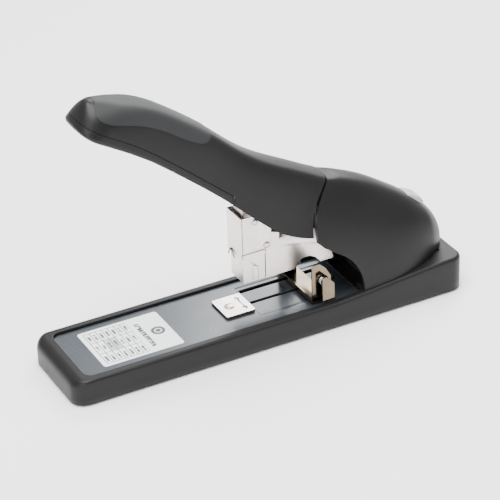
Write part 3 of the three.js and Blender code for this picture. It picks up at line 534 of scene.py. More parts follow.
def maths(tree, operation, a, b=None, c=None):
    """The output of a Math node on two or three values or sockets."""
    inputs = {i: v for i, v in enumerate((a, b, c)) if v is not None}
    return add_node(tree, "ShaderNodeMath", inputs, operation=operation).outputs[0]


def fitted(tree, value, low, high, to_low, to_high):
    """The output of a Map Range node, held within its ends."""
    inputs = {"Value": value, "From Min": low, "From Max": high, "To Min": to_low, "To Max": to_high}
    return add_node(tree, "ShaderNodeMapRange", inputs).outputs["Result"]


def noise(tree, where, scale, detail):
    """The value of a noise texture."""
    inputs = {"Vector": where, "Scale": scale, "Detail": detail}
    return add_node(tree, "ShaderNodeTexNoise", inputs).outputs["Fac"]


def blended(tree, share, a, b):
    """The output of a colour mix."""
    mix = add_node(tree, "ShaderNodeMix", data_type="RGBA")
    for socket, value in ((0, share), (6, a), (7, b)):
        if isinstance(value, bpy.types.NodeSocket):
            tree.links.new(value, mix.inputs[socket])
        else:
            mix.inputs[socket].default_value = value
    return mix.outputs[2]


def new_group(name, inputs, outputs):
    """An empty shader group with (name, socket type, default) inputs and (name, socket type) outputs."""
    group = bpy.data.node_groups.new(name, "ShaderNodeTree")
    for label, kind, default in inputs:
        socket = group.interface.new_socket(label, in_out="INPUT", socket_type=kind)
        if default is not None:
            socket.default_value = default
    for label, kind in outputs:
        group.interface.new_socket(label, in_out="OUTPUT", socket_type=kind)
    entry, leave = group.nodes.new("NodeGroupInput"), group.nodes.new("NodeGroupOutput")
    return group, entry.outputs, leave.inputs


VALUE, VECTOR = "NodeSocketFloat", "NodeSocketVector"


def moulded_grain():
    """Spark-eroded texture of a moulding: two sizes of noise for height, and slow patches."""
    group, given, made = new_group(
        "moulded_grain",
        [("Vector", VECTOR, None), ("Grain", VALUE, 1600.0), ("Patches", VALUE, 22.0)],
        [("Height", VALUE), ("Patches", VALUE)],
    )
    fine = add_node(group, "ShaderNodeTexVoronoi", {"Vector": given["Vector"], "Scale": given["Grain"]})
    soft = noise(group, given["Vector"], maths(group, "MULTIPLY", given["Grain"], 0.35), 3.0)
    patches = noise(group, given["Vector"], given["Patches"], 4.0)
    height = maths(group, "ADD", maths(group, "MULTIPLY", fine.outputs["Distance"], 0.6), soft)
    group.links.new(height, made["Height"])
    group.links.new(fitted(group, patches, 0.35, 0.65, 0.0, 1.0), made["Patches"])
    return group


def edge_wear():
    """Mask of handled edges: where the surface turns outwards sharply, broken up by noise."""
    group, given, made = new_group(
        "edge_wear",
        [("Vector", VECTOR, None), ("From", VALUE, 0.52), ("To", VALUE, 0.62), ("Breaks", VALUE, 180.0)],
        [("Mask", VALUE)],
    )
    sharpness = add_node(group, "ShaderNodeNewGeometry").outputs["Pointiness"]
    breaks = noise(group, given["Vector"], given["Breaks"], 5.0)
    edge = fitted(group, sharpness, given["From"], given["To"], 0.0, 1.0)
    broken = fitted(group, breaks, 0.4, 0.62, 0.15, 1.0)
    group.links.new(maths(group, "MULTIPLY", edge, broken), made["Mask"])
    return group


def rolled_metal():
    """Marks of rolling and plating: lines drawn out one way, cloudy patches and short scratches."""
    group, given, made = new_group(
        "rolled_metal",
        [("Vector", VECTOR, None), ("Stretch", VECTOR, (60.0, 60.0, 1500.0)), ("Clouds", VALUE, 55.0)],
        [("Lines", VALUE), ("Clouds", VALUE), ("Scratches", VALUE)],
    )
    drawn = add_node(group, "ShaderNodeVectorMath", operation="MULTIPLY")
    group.links.new(given["Vector"], drawn.inputs[0])
    group.links.new(given["Stretch"], drawn.inputs[1])
    lines = noise(group, drawn.outputs[0], 1.0, 4.0)
    clouds = noise(group, given["Vector"], given["Clouds"], 5.0)
    warped = add_node(group, "ShaderNodeVectorMath", operation="MULTIPLY")
    group.links.new(given["Vector"], warped.inputs[0])
    warped.inputs[1].default_value = (380.0, 900.0, 210.0)
    bent = {"Vector": warped.outputs[0], "Scale": 1.0, "Detail": 1.0, "Distortion": 1.2}
    scratch = add_node(group, "ShaderNodeTexNoise", bent)
    group.links.new(lines, made["Lines"])
    group.links.new(fitted(group, clouds, 0.3, 0.7, 0.0, 1.0), made["Clouds"])
    group.links.new(fitted(group, scratch.outputs["Fac"], 0.66, 0.72, 0.0, 1.0), made["Scratches"])
    return group


def settled_dust():
    """Mask of dust that lies on faces turned up, thicker in slow patches."""
    group, given, made = new_group("settled_dust", [("Vector", VECTOR, None)], [("Mask", VALUE)])
    normal = add_node(group, "ShaderNodeNewGeometry").outputs["Normal"]
    up = add_node(group, "ShaderNodeSeparateXYZ", {0: normal})
    speck = noise(group, given["Vector"], 900.0, 6.0)
    cloud = noise(group, given["Vector"], 30.0, 3.0)
    facing = fitted(group, up.outputs["Z"], 0.5, 1.0, 0.0, 1.0)
    grains = fitted(group, speck, 0.55, 0.75, 0.0, 1.0)
    spread = fitted(group, cloud, 0.4, 0.65, 0.2, 1.0)
    group.links.new(maths(group, "MULTIPLY", maths(group, "MULTIPLY", facing, grains), spread), made["Mask"])
    return group


def start_finish(name):
    """A material's tree, its Principled shader and the object's own coordinates."""
    material = bpy.data.materials.new(name)
    material.use_nodes = True
    tree = material.node_tree
    shader = tree.nodes["Principled BSDF"]
    return material, tree, shader, add_node(tree, "ShaderNodeTexCoord").outputs["Object"]


def use_group(tree, group, **inputs):
    """A placed shader group with its values set."""
    node = add_node(tree, "ShaderNodeGroup", node_tree=group)
    for name, value in inputs.items():
        if isinstance(value, bpy.types.NodeSocket):
            tree.links.new(value, node.inputs[name])
        else:
            node.inputs[name].default_value = value
    return node.outputs


def scaled(colour, by):
    """An opaque colour, darker or lighter."""
    return (*[min(1.0, c * by) for c in colour], 1.0)


def set_bump(tree, shader, height, distance, strength):
    """Bump from a height, in metres, on the shader's normal."""
    bump = add_node(tree, "ShaderNodeBump", {"Height": height, "Distance": distance, "Strength": strength})
    tree.links.new(bump.outputs["Normal"], shader.inputs["Normal"])


def plastic_finish(name, colour, groups, smoothness, grain, depth, dust, wear):
    """Moulded plastic or rubber: grained bump, patchy gloss, paler worn edges and a little dust."""
    material, tree, shader, where = start_finish(name)
    moulding = use_group(tree, groups["grain"], Vector=where, Grain=grain)
    worn = use_group(tree, groups["wear"], Vector=where)["Mask"]
    dusty = use_group(tree, groups["dust"], Vector=where)["Mask"]
    tint = blended(tree, moulding["Patches"], scaled(colour, 0.92), scaled(colour, 1.08))
    tint = blended(tree, maths(tree, "MULTIPLY", worn, wear), tint, scaled(colour, 2.1))
    tint = blended(tree, maths(tree, "MULTIPLY", dusty, dust), tint, (0.28, 0.27, 0.26, 1.0))
    tree.links.new(tint, shader.inputs["Base Color"])
    low, high = smoothness
    gloss = fitted(tree, moulding["Patches"], 0.0, 1.0, low, high)
    rough = maths(tree, "SUBTRACT", gloss, maths(tree, "MULTIPLY", worn, 0.08))
    rough = maths(tree, "ADD", rough, maths(tree, "MULTIPLY", dusty, 0.25))
    tree.links.new(rough, shader.inputs["Roughness"])
    shader.inputs["Specular IOR Level"].default_value = 0.22
    set_bump(tree, shader, moulding["Height"], depth, 0.5)
    return material


def metal_finish(name, colour, groups, smoothness, stretch, depth, tarnish, stain, gap):
    """Sheet metal or wire: rolling lines, cloudy plating, scratches, stains, paler edges that are partly wear and
    partly painted highlight, and painted shade in narrow gaps.
    """
    material, tree, shader, where = start_finish(name)
    marks = use_group(tree, groups["metal"], Vector=where, Stretch=stretch)
    worn = use_group(tree, groups["wear"], Vector=where)["Mask"]
    tint = blended(tree, maths(tree, "MULTIPLY", marks["Clouds"], stain), scaled(colour, 1.0), tarnish)
    # Paler convex edges: partly plating rubbed by handling, partly a painted highlight that lifts the edges.
    tint = blended(tree, maths(tree, "MULTIPLY", worn, 0.4), tint, scaled(colour, 1.25))
    # Painted shade: the colour falls to near black where other surfaces close in within `gap`, in gaps, hollows
    # and round rivets.
    painted_shade_ao = add_node(tree, "ShaderNodeAmbientOcclusion", {"Distance": gap}, samples=8).outputs["AO"]
    tint = blended(tree, fitted(tree, painted_shade_ao, 0.42, 0.92, 1.0, 0.0), tint, (0.03, 0.027, 0.025, 1.0))
    tree.links.new(tint, shader.inputs["Base Color"])
    shader.inputs["Metallic"].default_value = 1.0
    low, high = smoothness
    gloss = fitted(tree, marks["Clouds"], 0.0, 1.0, low, high)
    rough = maths(tree, "ADD", gloss, maths(tree, "MULTIPLY", marks["Scratches"], 0.12))
    tree.links.new(rough, shader.inputs["Roughness"])
    height = maths(tree, "SUBTRACT", marks["Lines"], maths(tree, "MULTIPLY", marks["Scratches"], 0.5))
    set_bump(tree, shader, height, depth, 0.35)
    return material


def deck_finish(colour, groups):
    """Satin metallic paint: fine flakes in colour, a faint orange peel, rubbed patches and dust."""
    material, tree, shader, where = start_finish("deck_paint")
    flakes = add_node(tree, "ShaderNodeTexVoronoi", {"Vector": where, "Scale": 2600.0})
    peel = noise(tree, where, 420.0, 2.0)
    rubbed = noise(tree, where, 26.0, 5.0)
    glint = fitted(tree, flakes.outputs["Distance"], 0.0, 0.6, 1.0, 0.0)
    dusty = use_group(tree, groups["dust"], Vector=where)["Mask"]
    worn = use_group(tree, groups["wear"], Vector=where)["Mask"]
    tint = blended(tree, glint, scaled(colour, 0.86), scaled(colour, 1.3))
    tint = blended(tree, maths(tree, "MULTIPLY", worn, 0.7), tint, (0.42, 0.44, 0.46, 1.0))
    tint = blended(tree, maths(tree, "MULTIPLY", dusty, 0.15), tint, (0.4, 0.4, 0.4, 1.0))
    # Painted shade: the paint falls to near black where other surfaces close in within 1.5 mm, round the anvil,
    # the label and the recess edges.
    painted_shade_ao = add_node(tree, "ShaderNodeAmbientOcclusion", {"Distance": 1.5 * MM}, samples=8).outputs["AO"]
    tint = blended(tree, fitted(tree, painted_shade_ao, 0.4, 0.9, 1.0, 0.0), tint, (0.006, 0.006, 0.006, 1.0))
    tree.links.new(tint, shader.inputs["Base Color"])
    shader.inputs["Metallic"].default_value = 0.35
    shader.inputs["Coat Weight"].default_value = 0.35
    shader.inputs["Coat Roughness"].default_value = 0.18
    tree.links.new(fitted(tree, rubbed, 0.35, 0.65, 0.27, 0.4), shader.inputs["Roughness"])
    set_bump(tree, shader, peel, 0.02 * MM, 0.4)
    return material


def within(tree, value, low, high):
    """1 where a value is between two others."""
    above = maths(tree, "GREATER_THAN", value, low)
    return maths(tree, "MULTIPLY", above, maths(tree, "LESS_THAN", value, high))


def union(tree, masks):
    """The highest of several masks."""
    total = masks[0]
    for mask in masks[1:]:
        total = maths(tree, "MAXIMUM", total, mask)
    return total


def label_finish(paper, ink):
    """White film with a generic print: a ruled table of dashes, a dashed title and a plain ring."""
    material, tree, shader, where = start_finish("label_print")
    low, high = (np.array(corner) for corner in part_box("label"))
    place = add_node(tree, "ShaderNodeSeparateXYZ", {0: where}).outputs
    x = maths(tree, "SUBTRACT", place["X"], float(low[0]))
    y = place["Y"]
    table, row, rule = (3 * MM, 33 * MM), 4.25 * MM, 0.5 * MM
    edge = high[1] - 2.6 * MM
    in_rows, in_columns = within(tree, x, *table), within(tree, y, -edge, edge)
    cell = maths(tree, "DIVIDE", maths(tree, "SUBTRACT", x, table[0]), row)
    part = maths(tree, "FRACT", cell)
    lines = [maths(tree, "MULTIPLY", maths(tree, "LESS_THAN", part, rule / row), in_columns)]
    for column in (-edge, -0.38 * edge, 0.36 * edge, edge - rule):
        lines.append(within(tree, y, column, column + rule))
    rules = maths(tree, "MULTIPLY", union(tree, lines), in_rows)
    broken = add_node(tree, "ShaderNodeVectorMath", operation="MULTIPLY")
    tree.links.new(where, broken.inputs[0])
    broken.inputs[1].default_value = (240.0, 900.0, 0.0)
    strokes = add_node(tree, "ShaderNodeTexVoronoi", {"Vector": broken.outputs[0], "Scale": 1.0})
    marks = maths(tree, "GREATER_THAN", strokes.outputs["Distance"], 0.36)
    entry_row = maths(tree, "MULTIPLY", within(tree, part, 0.34, 0.72), in_rows)
    entry_places = union(
        tree,
        [within(tree, y, share * edge, (share + 0.34) * edge) for share in (-0.9, -0.16, 0.5)],
    )
    entries = maths(tree, "MULTIPLY", maths(tree, "MULTIPLY", entry_row, entry_places), marks)
    title_row = within(tree, x, 36.4 * MM, 39.6 * MM)
    title = maths(tree, "MULTIPLY", title_row, within(tree, y, -0.82 * edge, 0.72 * edge))
    title = maths(tree, "MULTIPLY", title, marks)
    away_x = maths(tree, "SUBTRACT", x, 47.6 * MM)
    squares = maths(tree, "ADD", maths(tree, "MULTIPLY", away_x, away_x), maths(tree, "MULTIPLY", y, y))
    reach = maths(tree, "SQRT", squares)
    disc = maths(tree, "LESS_THAN", reach, 4.7 * MM)
    ring = maths(tree, "SUBTRACT", disc, within(tree, reach, 1.8 * MM, 2.6 * MM))
    shaded = maths(tree, "MULTIPLY", within(tree, y, -0.38 * edge, 0.36 * edge), within(tree, cell, 2.0, 4.0))
    shaded = maths(tree, "MULTIPLY", maths(tree, "MULTIPLY", shaded, in_rows), 0.45)
    print_mask = union(tree, [rules, maths(tree, "MULTIPLY", entries, 0.95), title, ring, shaded])
    print_mask = maths(tree, "MINIMUM", print_mask, 0.97)
    aged = noise(tree, where, 60.0, 4.0)
    sheet = blended(tree, aged, scaled(paper, 0.96), scaled(paper, 1.03))
    tree.links.new(blended(tree, print_mask, sheet, scaled(ink, 1.0)), shader.inputs["Base Color"])
    tree.links.new(fitted(tree, aged, 0.3, 0.7, 0.3, 0.42), shader.inputs["Roughness"])
    grain = noise(tree, where, 1500.0, 2.0)
    set_bump(tree, shader, grain, 0.01 * MM, 0.3)
    return material


def make_finishes(colours):
    """Every finish of the object, by the record's slot names."""
    groups = {"grain": moulded_grain(), "wear": edge_wear(), "metal": rolled_metal(), "dust": settled_dust()}
    black, grip, nickel = tuple(colours.black), tuple(colours.grip), tuple(colours.nickel)
    sheet, drawn = (60.0, 60.0, 1500.0), (900.0, 900.0, 900.0)
    fine, satin, plating = (0.24, 0.36), (0.32, 0.45), (0.6, 0.54, 0.5, 1.0)
    plastics = (
        ("black_plastic", black, (0.36, 0.46), 1500.0, 0.03 * MM, 0.05, 0.35),
        ("grip_rubber", grip, (0.5, 0.6), 2400.0, 0.05 * MM, 0.08, 0.2),
        ("foot_rubber", (0.014, 0.014, 0.015), (0.75, 0.9), 900.0, 0.08 * MM, 0.5, 0.2),
        ("grey_plastic", (0.46, 0.43, 0.44), (0.4, 0.5), 1500.0, 0.03 * MM, 0.2, 0.2),
    )
    for name, tint, gloss, grain, depth, dust, wear in plastics:
        FINISHES[name] = plastic_finish(name, tint, groups, gloss, grain, depth, dust, wear)
    FINISHES["grip_rubber"].node_tree.nodes["Principled BSDF"].inputs["Sheen Weight"].default_value = 0.06
    # Columns: name, colour, gloss, stretch of the rolling lines, bump depth, tarnish colour, stain share, and the
    # reach of the painted shade in gaps in millimetres. lever_steel and anvil_steel are the nickel with a longer
    # reach, so the lever and the anvil's pits take deeper painted shade.
    metals = (
        ("nickel_steel", nickel, fine, sheet, 0.01, plating, 0.3, 1.6),
        ("lever_steel", nickel, fine, sheet, 0.01, plating, 0.3, 8.0),
        ("anvil_steel", nickel, fine, sheet, 0.01, plating, 0.3, 4.0),
        ("dark_steel", (0.26, 0.26, 0.27), satin, sheet, 0.02, (0.14, 0.13, 0.12, 1.0), 0.3, 1.6),
        ("spring_steel", (0.5, 0.5, 0.5), fine, drawn, 0.01, (0.3, 0.28, 0.26, 1.0), 0.3, 1.6),
        ("brass_tone", (0.62, 0.42, 0.17), (0.25, 0.38), sheet, 0.015, (0.45, 0.3, 0.26, 1.0), 0.55, 1.6),
        # stop_plate: the stop's plating with its colour darkened, partly its own tone and partly a painted
        # reflection of the dark parts round it.
        ("stop_plate", (0.2, 0.16, 0.11), (0.07, 0.15), sheet, 0.01, (0.12, 0.09, 0.06, 1.0), 0.8, 1.6),
    )
    for name, tint, gloss, stretch, depth, tarnish, stain, gap in metals:
        depth, gap = depth * MM, gap * MM
        FINISHES[name] = metal_finish(name, tint, groups, gloss, stretch, depth, tarnish, stain, gap)
    FINISHES["deck_paint"] = deck_finish(tuple(colours.deck), groups)
    FINISHES["label_paper"] = label_finish(tuple(colours.label), tuple(colours.ink))


# ---------- base, deck and label ----------
DECK_CORNER = 5 * MM
SLOT_SIDES = ((-1.5 * MM, 1.5 * MM), (13.5 * MM, 17.5 * MM))


def rounded_loop(low_x, high_x, half, corner, arc=9, short=8, long=56):
    """Points and outward directions round a rounded rectangle, anticlockwise from its rear right."""
    inner = [(high_x, -1), (high_x, 1), (low_x, 1), (low_x, -1)]
    centres = [(x - corner * np.sign(x - (low_x + high_x) / 2), side * (half - corner)) for x, side in inner]
    points, directions = [], []
    for k, centre in enumerate(centres):
        angle = np.radians(90 * k - 90 + np.linspace(0, 90, arc + 1))
        out = np.stack([np.cos(angle), np.sin(angle)], 1)
        bend = np.array(centre) + corner * out
        start_next = np.array(centres[(k + 1) % 4]) + corner * out[-1]
        count = short if k % 2 == 0 else long
        share = np.linspace(0, 1, count + 2)[1:-1, None]
        points += [bend, bend[-1] * (1 - share) + start_next * share]
        directions += [out, np.repeat(out[-1:], count, axis=0)]
    return np.concatenate(points), np.concatenate(directions)


def rim_height(sizes, x):
    """Height of the rim: level beside the deck, then a straight rise to the rear with eased ends."""
    share = np.clip((x - sizes.rise_start) / (sizes.rise_end - sizes.rise_start), 0, 1)
    eased = share - 0.02 * np.sin(2 * math.pi * share)
    return sizes.rim_height + (sizes.rear_height - sizes.rim_height) * eased


def plate_mesh(name, plan, low, high):
    """A flat plate: a closed outline in plan between two heights."""
    count = len(plan)
    points = np.concatenate([np.c_[plan, np.full(count, z)] for z in (low, high)])
    a = np.arange(count)
    b = (a + 1) % count
    sides = np.stack([a, b, b + count, a + count], 1)
    return mesh_from(name, points, [*sides, a[::-1], a + count])


def slot_ends():
    """The two ends of the deck's slots along X, from the paper stop that runs in them."""
    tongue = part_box("stop_frame")
    return tongue[0].x - 33.2 * MM, tongue[1].x + 17 * MM


def deck_slots(low, high, play):
    """Cutting blocks for the deck's two slots, each with some room round it."""
    start, end = slot_ends()
    front, back = start - play, end + play
    return [block((front, right - play, low), (back, left + play, high)) for right, left in SLOT_SIDES]


def base_mesh(sizes):
    """The base: one profile carried round its plan, from under the shelf, over the rim, into the recess.

    The profile goes up the inside of the wall, under it, up the outside, round the top edge by a quarter
    circle whose radius depends on the direction it faces, along the rim and down to the shelf.
    """
    low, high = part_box("base_shell")
    half = (high.y - low.y) / 2
    front, rear, bottom = CAD_LOW[0], high.x, low.z
    shelf = DECK_LOW[2] - 0.3 * MM
    outline, out = rounded_loop(front, rear, half, sizes.corner)
    wall = sizes.wall
    hollow, _ = rounded_loop(front + wall, rear - wall, half - wall, sizes.corner - wall)
    gap = 0.35 * MM
    recess, _ = rounded_loop(DECK_LOW[0] - gap, DECK_HIGH[0] + gap, DECK_HIGH[1] + gap, DECK_CORNER + gap)
    facing_front, facing_rear = np.clip(-out[:, 0], 0, 1) ** 1.5, np.clip(out[:, 0], 0, 1) ** 1.5
    radius = sizes.side_round + (sizes.front_round - sizes.side_round) * facing_front
    radius = radius + (sizes.rear_round - sizes.side_round) * facing_rear

    def ring(plan, z):
        return np.c_[plan, z + 0 * plan[:, 0]]

    def spine(plan, inset, z):
        along = np.clip(plan[:, 0], plan[:, 0].min() + inset, plan[:, 0].max() - inset)
        return ring(np.c_[along, 0 * along], z)

    ceiling = shelf - sizes.floor
    rows = [spine(hollow, half * 0.8, ceiling), ring(hollow, ceiling), ring(hollow, bottom + 1.2 * MM)]
    rows += [ring(hollow + 0.5 * MM * out, bottom), ring(outline - 0.5 * MM * out, bottom)]
    rows.append(ring(outline, bottom + 0.5 * MM))
    for share in (0.3, 0.7, 1.0):
        top = rim_height(sizes, outline[:, 0]) - radius
        rows.append(ring(outline, bottom + 0.5 * MM + (top - bottom - 0.5 * MM) * share))
    for turn in np.linspace(0, math.pi / 2, 9)[1:]:
        plan = outline - (radius * (1 - math.cos(turn)))[:, None] * out
        rows.append(ring(plan, rim_height(sizes, plan[:, 0]) - radius * (1 - math.sin(turn))))
    rim_edge = outline - radius[:, None] * out
    inner_edge = recess + 0.5 * MM * out
    for share in np.linspace(0, 1, 12)[1:]:
        plan = rim_edge * (1 - share) + inner_edge * share
        rows.append(ring(plan, rim_height(sizes, plan[:, 0])))
    for turn in np.linspace(0, math.pi / 2, 4)[1:]:
        plan = recess + 0.5 * MM * (1 - math.sin(turn)) * out
        rows.append(ring(plan, rim_height(sizes, plan[:, 0]) - 0.5 * MM * (1 - math.cos(turn))))
    rows += [ring(recess, shelf), spine(recess, half * 0.8, shelf)]
    grid = np.stack(rows)
    mesh = mesh_from("base_moulding", grid, quads(*grid.shape[:2], wrap=True))
    bracket = [np.array(corner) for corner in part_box("pivot_bracket")]
    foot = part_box("pivot_bracket")[1].y
    pocket = block((bracket[0][0] - gap, -foot - gap, shelf), (bracket[1][0] + gap, foot + gap, 40 * MM))
    return cut(mesh, [*deck_slots(ceiling - MM, shelf + MM, sizes.slot_play), pocket])


def deck_mesh():
    """The deck sheet: a grid of cells with the slots left out, and a shallow pressed panel behind the anvil.

    Its height is level but for the panel, which lies lower inside a smooth step.
    """
    low, high = DECK_LOW, DECK_HIGH
    corner, bend = DECK_CORNER, 0.8 * MM
    start, end = slot_ends()
    panel_x, panel_y = -3.4 * MM, (-17 * MM, 20.4 * MM)
    fine = np.linspace(-bend, bend, 5)
    x = np.concatenate([
        low[0] + corner * (1 - np.cos(np.linspace(0, math.pi / 2, 9))),
        np.linspace(low[0] + corner, high[0] - corner, 40)[1:-1],
        high[0] - corner * (1 - np.cos(np.linspace(math.pi / 2, 0, 9))),
        panel_x + fine,
        [start, end],
    ])
    edges = [edge for sides in SLOT_SIDES for edge in sides]
    y = np.concatenate([np.linspace(low[1], high[1], 23), edges, panel_y[0] + fine, panel_y[1] + fine])
    x, y = np.unique(np.round(x, 7)), np.unique(np.round(y, 7))
    from_end = np.minimum(x - low[0], high[0] - x)
    narrowed = corner - np.sqrt(np.clip(corner**2 - np.clip(corner - from_end, 0, corner) ** 2, 0, None))
    shrink = 1 - narrowed / high[1]
    grid_x, grid_y = np.meshgrid(x, y, indexing="ij")
    inside = ramp(grid_x, panel_x - bend, panel_x + bend)
    inside = inside * ramp(grid_y, panel_y[0] - bend, panel_y[0] + bend)
    inside = inside * (1 - ramp(grid_y, panel_y[1] - bend, panel_y[1] + bend))
    top = np.stack([grid_x, grid_y * shrink[:, None], high[2] - 0.45 * MM * inside], -1)
    under = top.copy()
    under[..., 2] = low[2]
    middle_x, middle_y = (x[:-1] + x[1:]) / 2, (y[:-1] + y[1:]) / 2
    kept = np.ones((len(middle_x), len(middle_y)), bool)
    for right, left in SLOT_SIDES:
        across = (middle_y > right) & (middle_y < left)
        kept &= ~(((middle_x > start) & (middle_x < end))[:, None] & across[None, :])
    rows, cols = len(x), len(y)
    total = rows * cols
    cells = quads(rows, cols).reshape(rows - 1, cols - 1, 4)
    faces = [cells[kept], cells[kept][:, ::-1] + total]
    framed = np.pad(kept, 1)
    for step, (first, second) in (((-1, 0), (0, 1)), ((0, 1), (1, 2)), ((1, 0), (2, 3)), ((0, -1), (3, 0))):
        beside = framed[1 + step[0] : rows + step[0], 1 + step[1] : cols + step[1]]
        lone = cells[kept & ~beside]
        a, b = lone[:, first], lone[:, second]
        faces.append(np.stack([b, a, a + total, b + total], 1))
    points = np.concatenate([top.reshape(-1, 3), under.reshape(-1, 3)])
    return mesh_from("deck_sheet", points, np.concatenate(faces))


class STAPLER_OT_base(bpy.types.Operator):
    """Make the moulded base, its feet, the painted deck and the label"""

    bl_idname = "stapler.base"
    bl_label = "Base and Deck"

    def execute(self, context):
        sizes = context.scene.stapler_base
        add_piece("base_moulding", base_mesh(sizes), "base_shell", sharp=50)
        add_piece("deck_sheet", deck_mesh(), "deck_plate", bevel=0.22 * MM, sharp=60)
        low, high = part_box("label")
        plan, _ = rounded_loop(low.x, high.x, high.y, 2 * MM, arc=8, short=1, long=1)
        sheet = plate_mesh("label_film", plan, high.z - 0.15 * MM, high.z)
        add_piece("label_film", sheet, "label", bevel=0.04 * MM, sharp=60)
        for i in range(1, 5):
            low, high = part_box(f"foot_{i}")
            radius, middle = (high.x - low.x) / 2, (low + high) / 2
            profile = [(0, 0.5 * MM), (radius * 0.42, 0.5 * MM), (radius * 0.5, 0), (radius * 0.86, 0)]
            profile += [(radius * 0.97, 0.3 * MM), (radius, 0.9 * MM), (radius, high.z), (0, high.z)]
            foot = turned(f"rubber_foot_{i}", profile, (middle.x, middle.y, 0))
            add_piece(f"rubber_foot_{i}", foot, f"foot_{i}", bevel=0.15 * MM, sharp=50)
        return {"FINISHED"}


# ---------- rear cover ----------
ARCH_TOP = 61.5
COVER_CROWN = [
    (31.2, 106.5), (48.2, 101.6), (56.8, 98.6), (81.5, 87.8), (99.3, 77), (115, 66), (130.5, 52), (136.6, 42),
    (139.2, 32),
]
COVER_ARCH = [(35, ARCH_TOP), (44.6, 54.5), (55.1, 47.5), (62, 39), (65.8, 29), (66.6, 20.6)]


def cover_front(height, radius):
    """Where the cover's front edge lies at a height: an arc about the hinge pin, then the arch's side."""
    pin_x, pin_z = HANDLE_PIN[0], HANDLE_PIN[2]
    away = np.clip(height - pin_z, -radius, radius)
    arc = pin_x - np.sqrt(radius**2 - away**2)
    arch = curve([(z * MM, x * MM) for x, z in COVER_ARCH[::-1]], height)
    return np.where(height > ARCH_TOP * MM, arc, arch)


def cover_skin(sizes, shares, turns, inset):
    """A skin of the cover: stations down its crown line, whose sections round in towards the rear.

    The front of each line of the grid is moved to the front edge, and the shift fades out by the middle.
    """
    crown_line = spline([(x * MM, z * MM) for x, z in COVER_CROWN] + [(sizes.rear, 25.5 * MM)], 400)
    part = np.linspace(0, 1, len(crown_line))
    x = np.interp(shares, part, crown_line[:, 0])[:, None] - inset * shares[:, None]
    for _ in range(6):
        top = np.interp(x, crown_line[:, 0], crown_line[:, 1]) - inset
        past = np.clip((x - 85 * MM) / (sizes.long_axis - inset), 0, 1)
        narrow = np.sqrt(1 - past**2)
        broad = np.minimum(1, 1.5 * narrow)
        foot = rim_height(bpy.context.scene.stapler_base, x) + 0.12 * MM
        top = foot + (top - foot) * np.clip(np.minimum(1, 30 * narrow), 0, 1)
        height, width = section(
            turns[None, :], top, foot, (sizes.ridge - inset) * broad, (sizes.half - inset) * narrow,
            3.4 * MM * narrow, 4.3 * MM * broad, SECTION_POWER,
        )
        fade = 1 - ramp(shares[:, None], 0, 0.55)
        start = crown_line[0, 0]
        x = np.interp(shares, part, crown_line[:, 0])[:, None] - inset * shares[:, None]
        x = x + (cover_front(height, sizes.seam_radius) - start) * fade
    across = width * np.sign(np.cos(turns))[None, :]
    return np.stack([x, across, height], -1)


def cover_mesh(sizes):
    """The rear cover: two skins a wall apart, joined at the front edge and the foot, with a hole."""
    shares = eased_ends(60, 0.8)
    turns = np.linspace(0, math.pi, 73)
    outer = cover_skin(sizes, shares, turns, 0.0)
    inner = cover_skin(sizes, shares, turns, sizes.wall)
    mesh = walled("cover_moulding", outer, inner, ends=(True, False))
    low, high = (np.array(corner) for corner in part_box("release_button"))
    axis = np.array(JOINTS["release_press"]["axis"], float)
    turn = math.atan2(-axis[0], -axis[2])
    middle = (low + high) / 2
    half = np.array([6.0, high[1] / MM + 0.35, 14.0]) * MM
    hole = block(middle - half, middle + half, turn, middle)
    return cut(mesh, [hole])


class STAPLER_OT_cover(bpy.types.Operator):
    """Make the rear cover with its arch over the head, and the release button in its slope"""

    bl_idname = "stapler.cover"
    bl_label = "Rear Cover"

    def execute(self, context):
        cover = cover_mesh(context.scene.stapler_cover)
        add_piece("cover_moulding", cover, "rear_cover", bevel=0.35 * MM, sharp=50)
        key = copy_of("release_button")
        add_piece("release_key", key, "release_button", bevel=0.6 * MM, sharp=35, segments=4)
        return {"FINISHED"}


# ---------- handle ----------
TRAY_START, TRAY_ROUND, TIP_START = 98 * MM, 2 * MM, 200 * MM
HANDLE_TOP = [
    (20, 17.5), (41, 13.5), (58.6, 11.1), (85, 7.6), (103, 7.2), (129, 9.5), (146.5, 10.3), (169.5, 10.1),
    (180, 9.1), (190, 7.0), (200, 3.4), (207, 0.8), (213, -1.7), (216.5, -3.5), (219, -5.6), (220, -8.4),
]
HANDLE_LOW = [
    (20, -19), (30, -23.1), (39, -26.3), (50, -28.6), (61, -29), (75, -27.7), (101, -24.7), (126, -22.6),
    (162, -20.6), (180, -21), (195, -22.2), (208, -23.4), (216, -23.6), (224, -22.8),
]
HANDLE_SEAM = [
    (99.8, -19.6), (129.6, -17.3), (153.6, -15.7), (176.8, -14.8), (195, -15.8), (210, -17.2), (224, -17.8)
]
GRIP_EDGE = [
    (133.4, 9.9), (133.9, 7), (135.5, 4.6), (139, 2.6), (146, 1.3), (154, 0.7), (169, 0.2), (184, -2.2),
    (196, -6.3), (203, -8.8), (208, -9.9), (211, -9.9), (213.4, -8.6), (214.8, -6.2), (215.2, -3.2),
]


def metres(pairs):
    """Pairs in millimetres as metres."""
    return np.array(pairs) * MM


def placed(sizes, s, across, t):
    """Points from the handle's own measures: s out from the pin along it, t square to it."""
    c, k = math.cos(sizes.tilt), math.sin(sizes.tilt)
    x = HANDLE_PIN[0] - s * c + t * k
    z = HANDLE_PIN[2] + s * k + t * c
    return np.stack(np.broadcast_arrays(x, across, z), -1)


def tip_round(sizes, s):
    """How far a station is into the tip, 0 to 1, and its share of the full width, on a superellipse."""
    past = np.clip((s - (sizes.tip - sizes.tip_round)) / sizes.tip_round, 0, 1)
    return past, (1 - past**2.7) ** (1 / 2.7)


def edge_power(sizes, s):
    """Power of the section's superellipse: crisp edges along the handle, softer ones over the tip."""
    return SECTION_POWER - 4.6 * ramp(s, sizes.tip - 36 * MM, sizes.tip - 6 * MM)


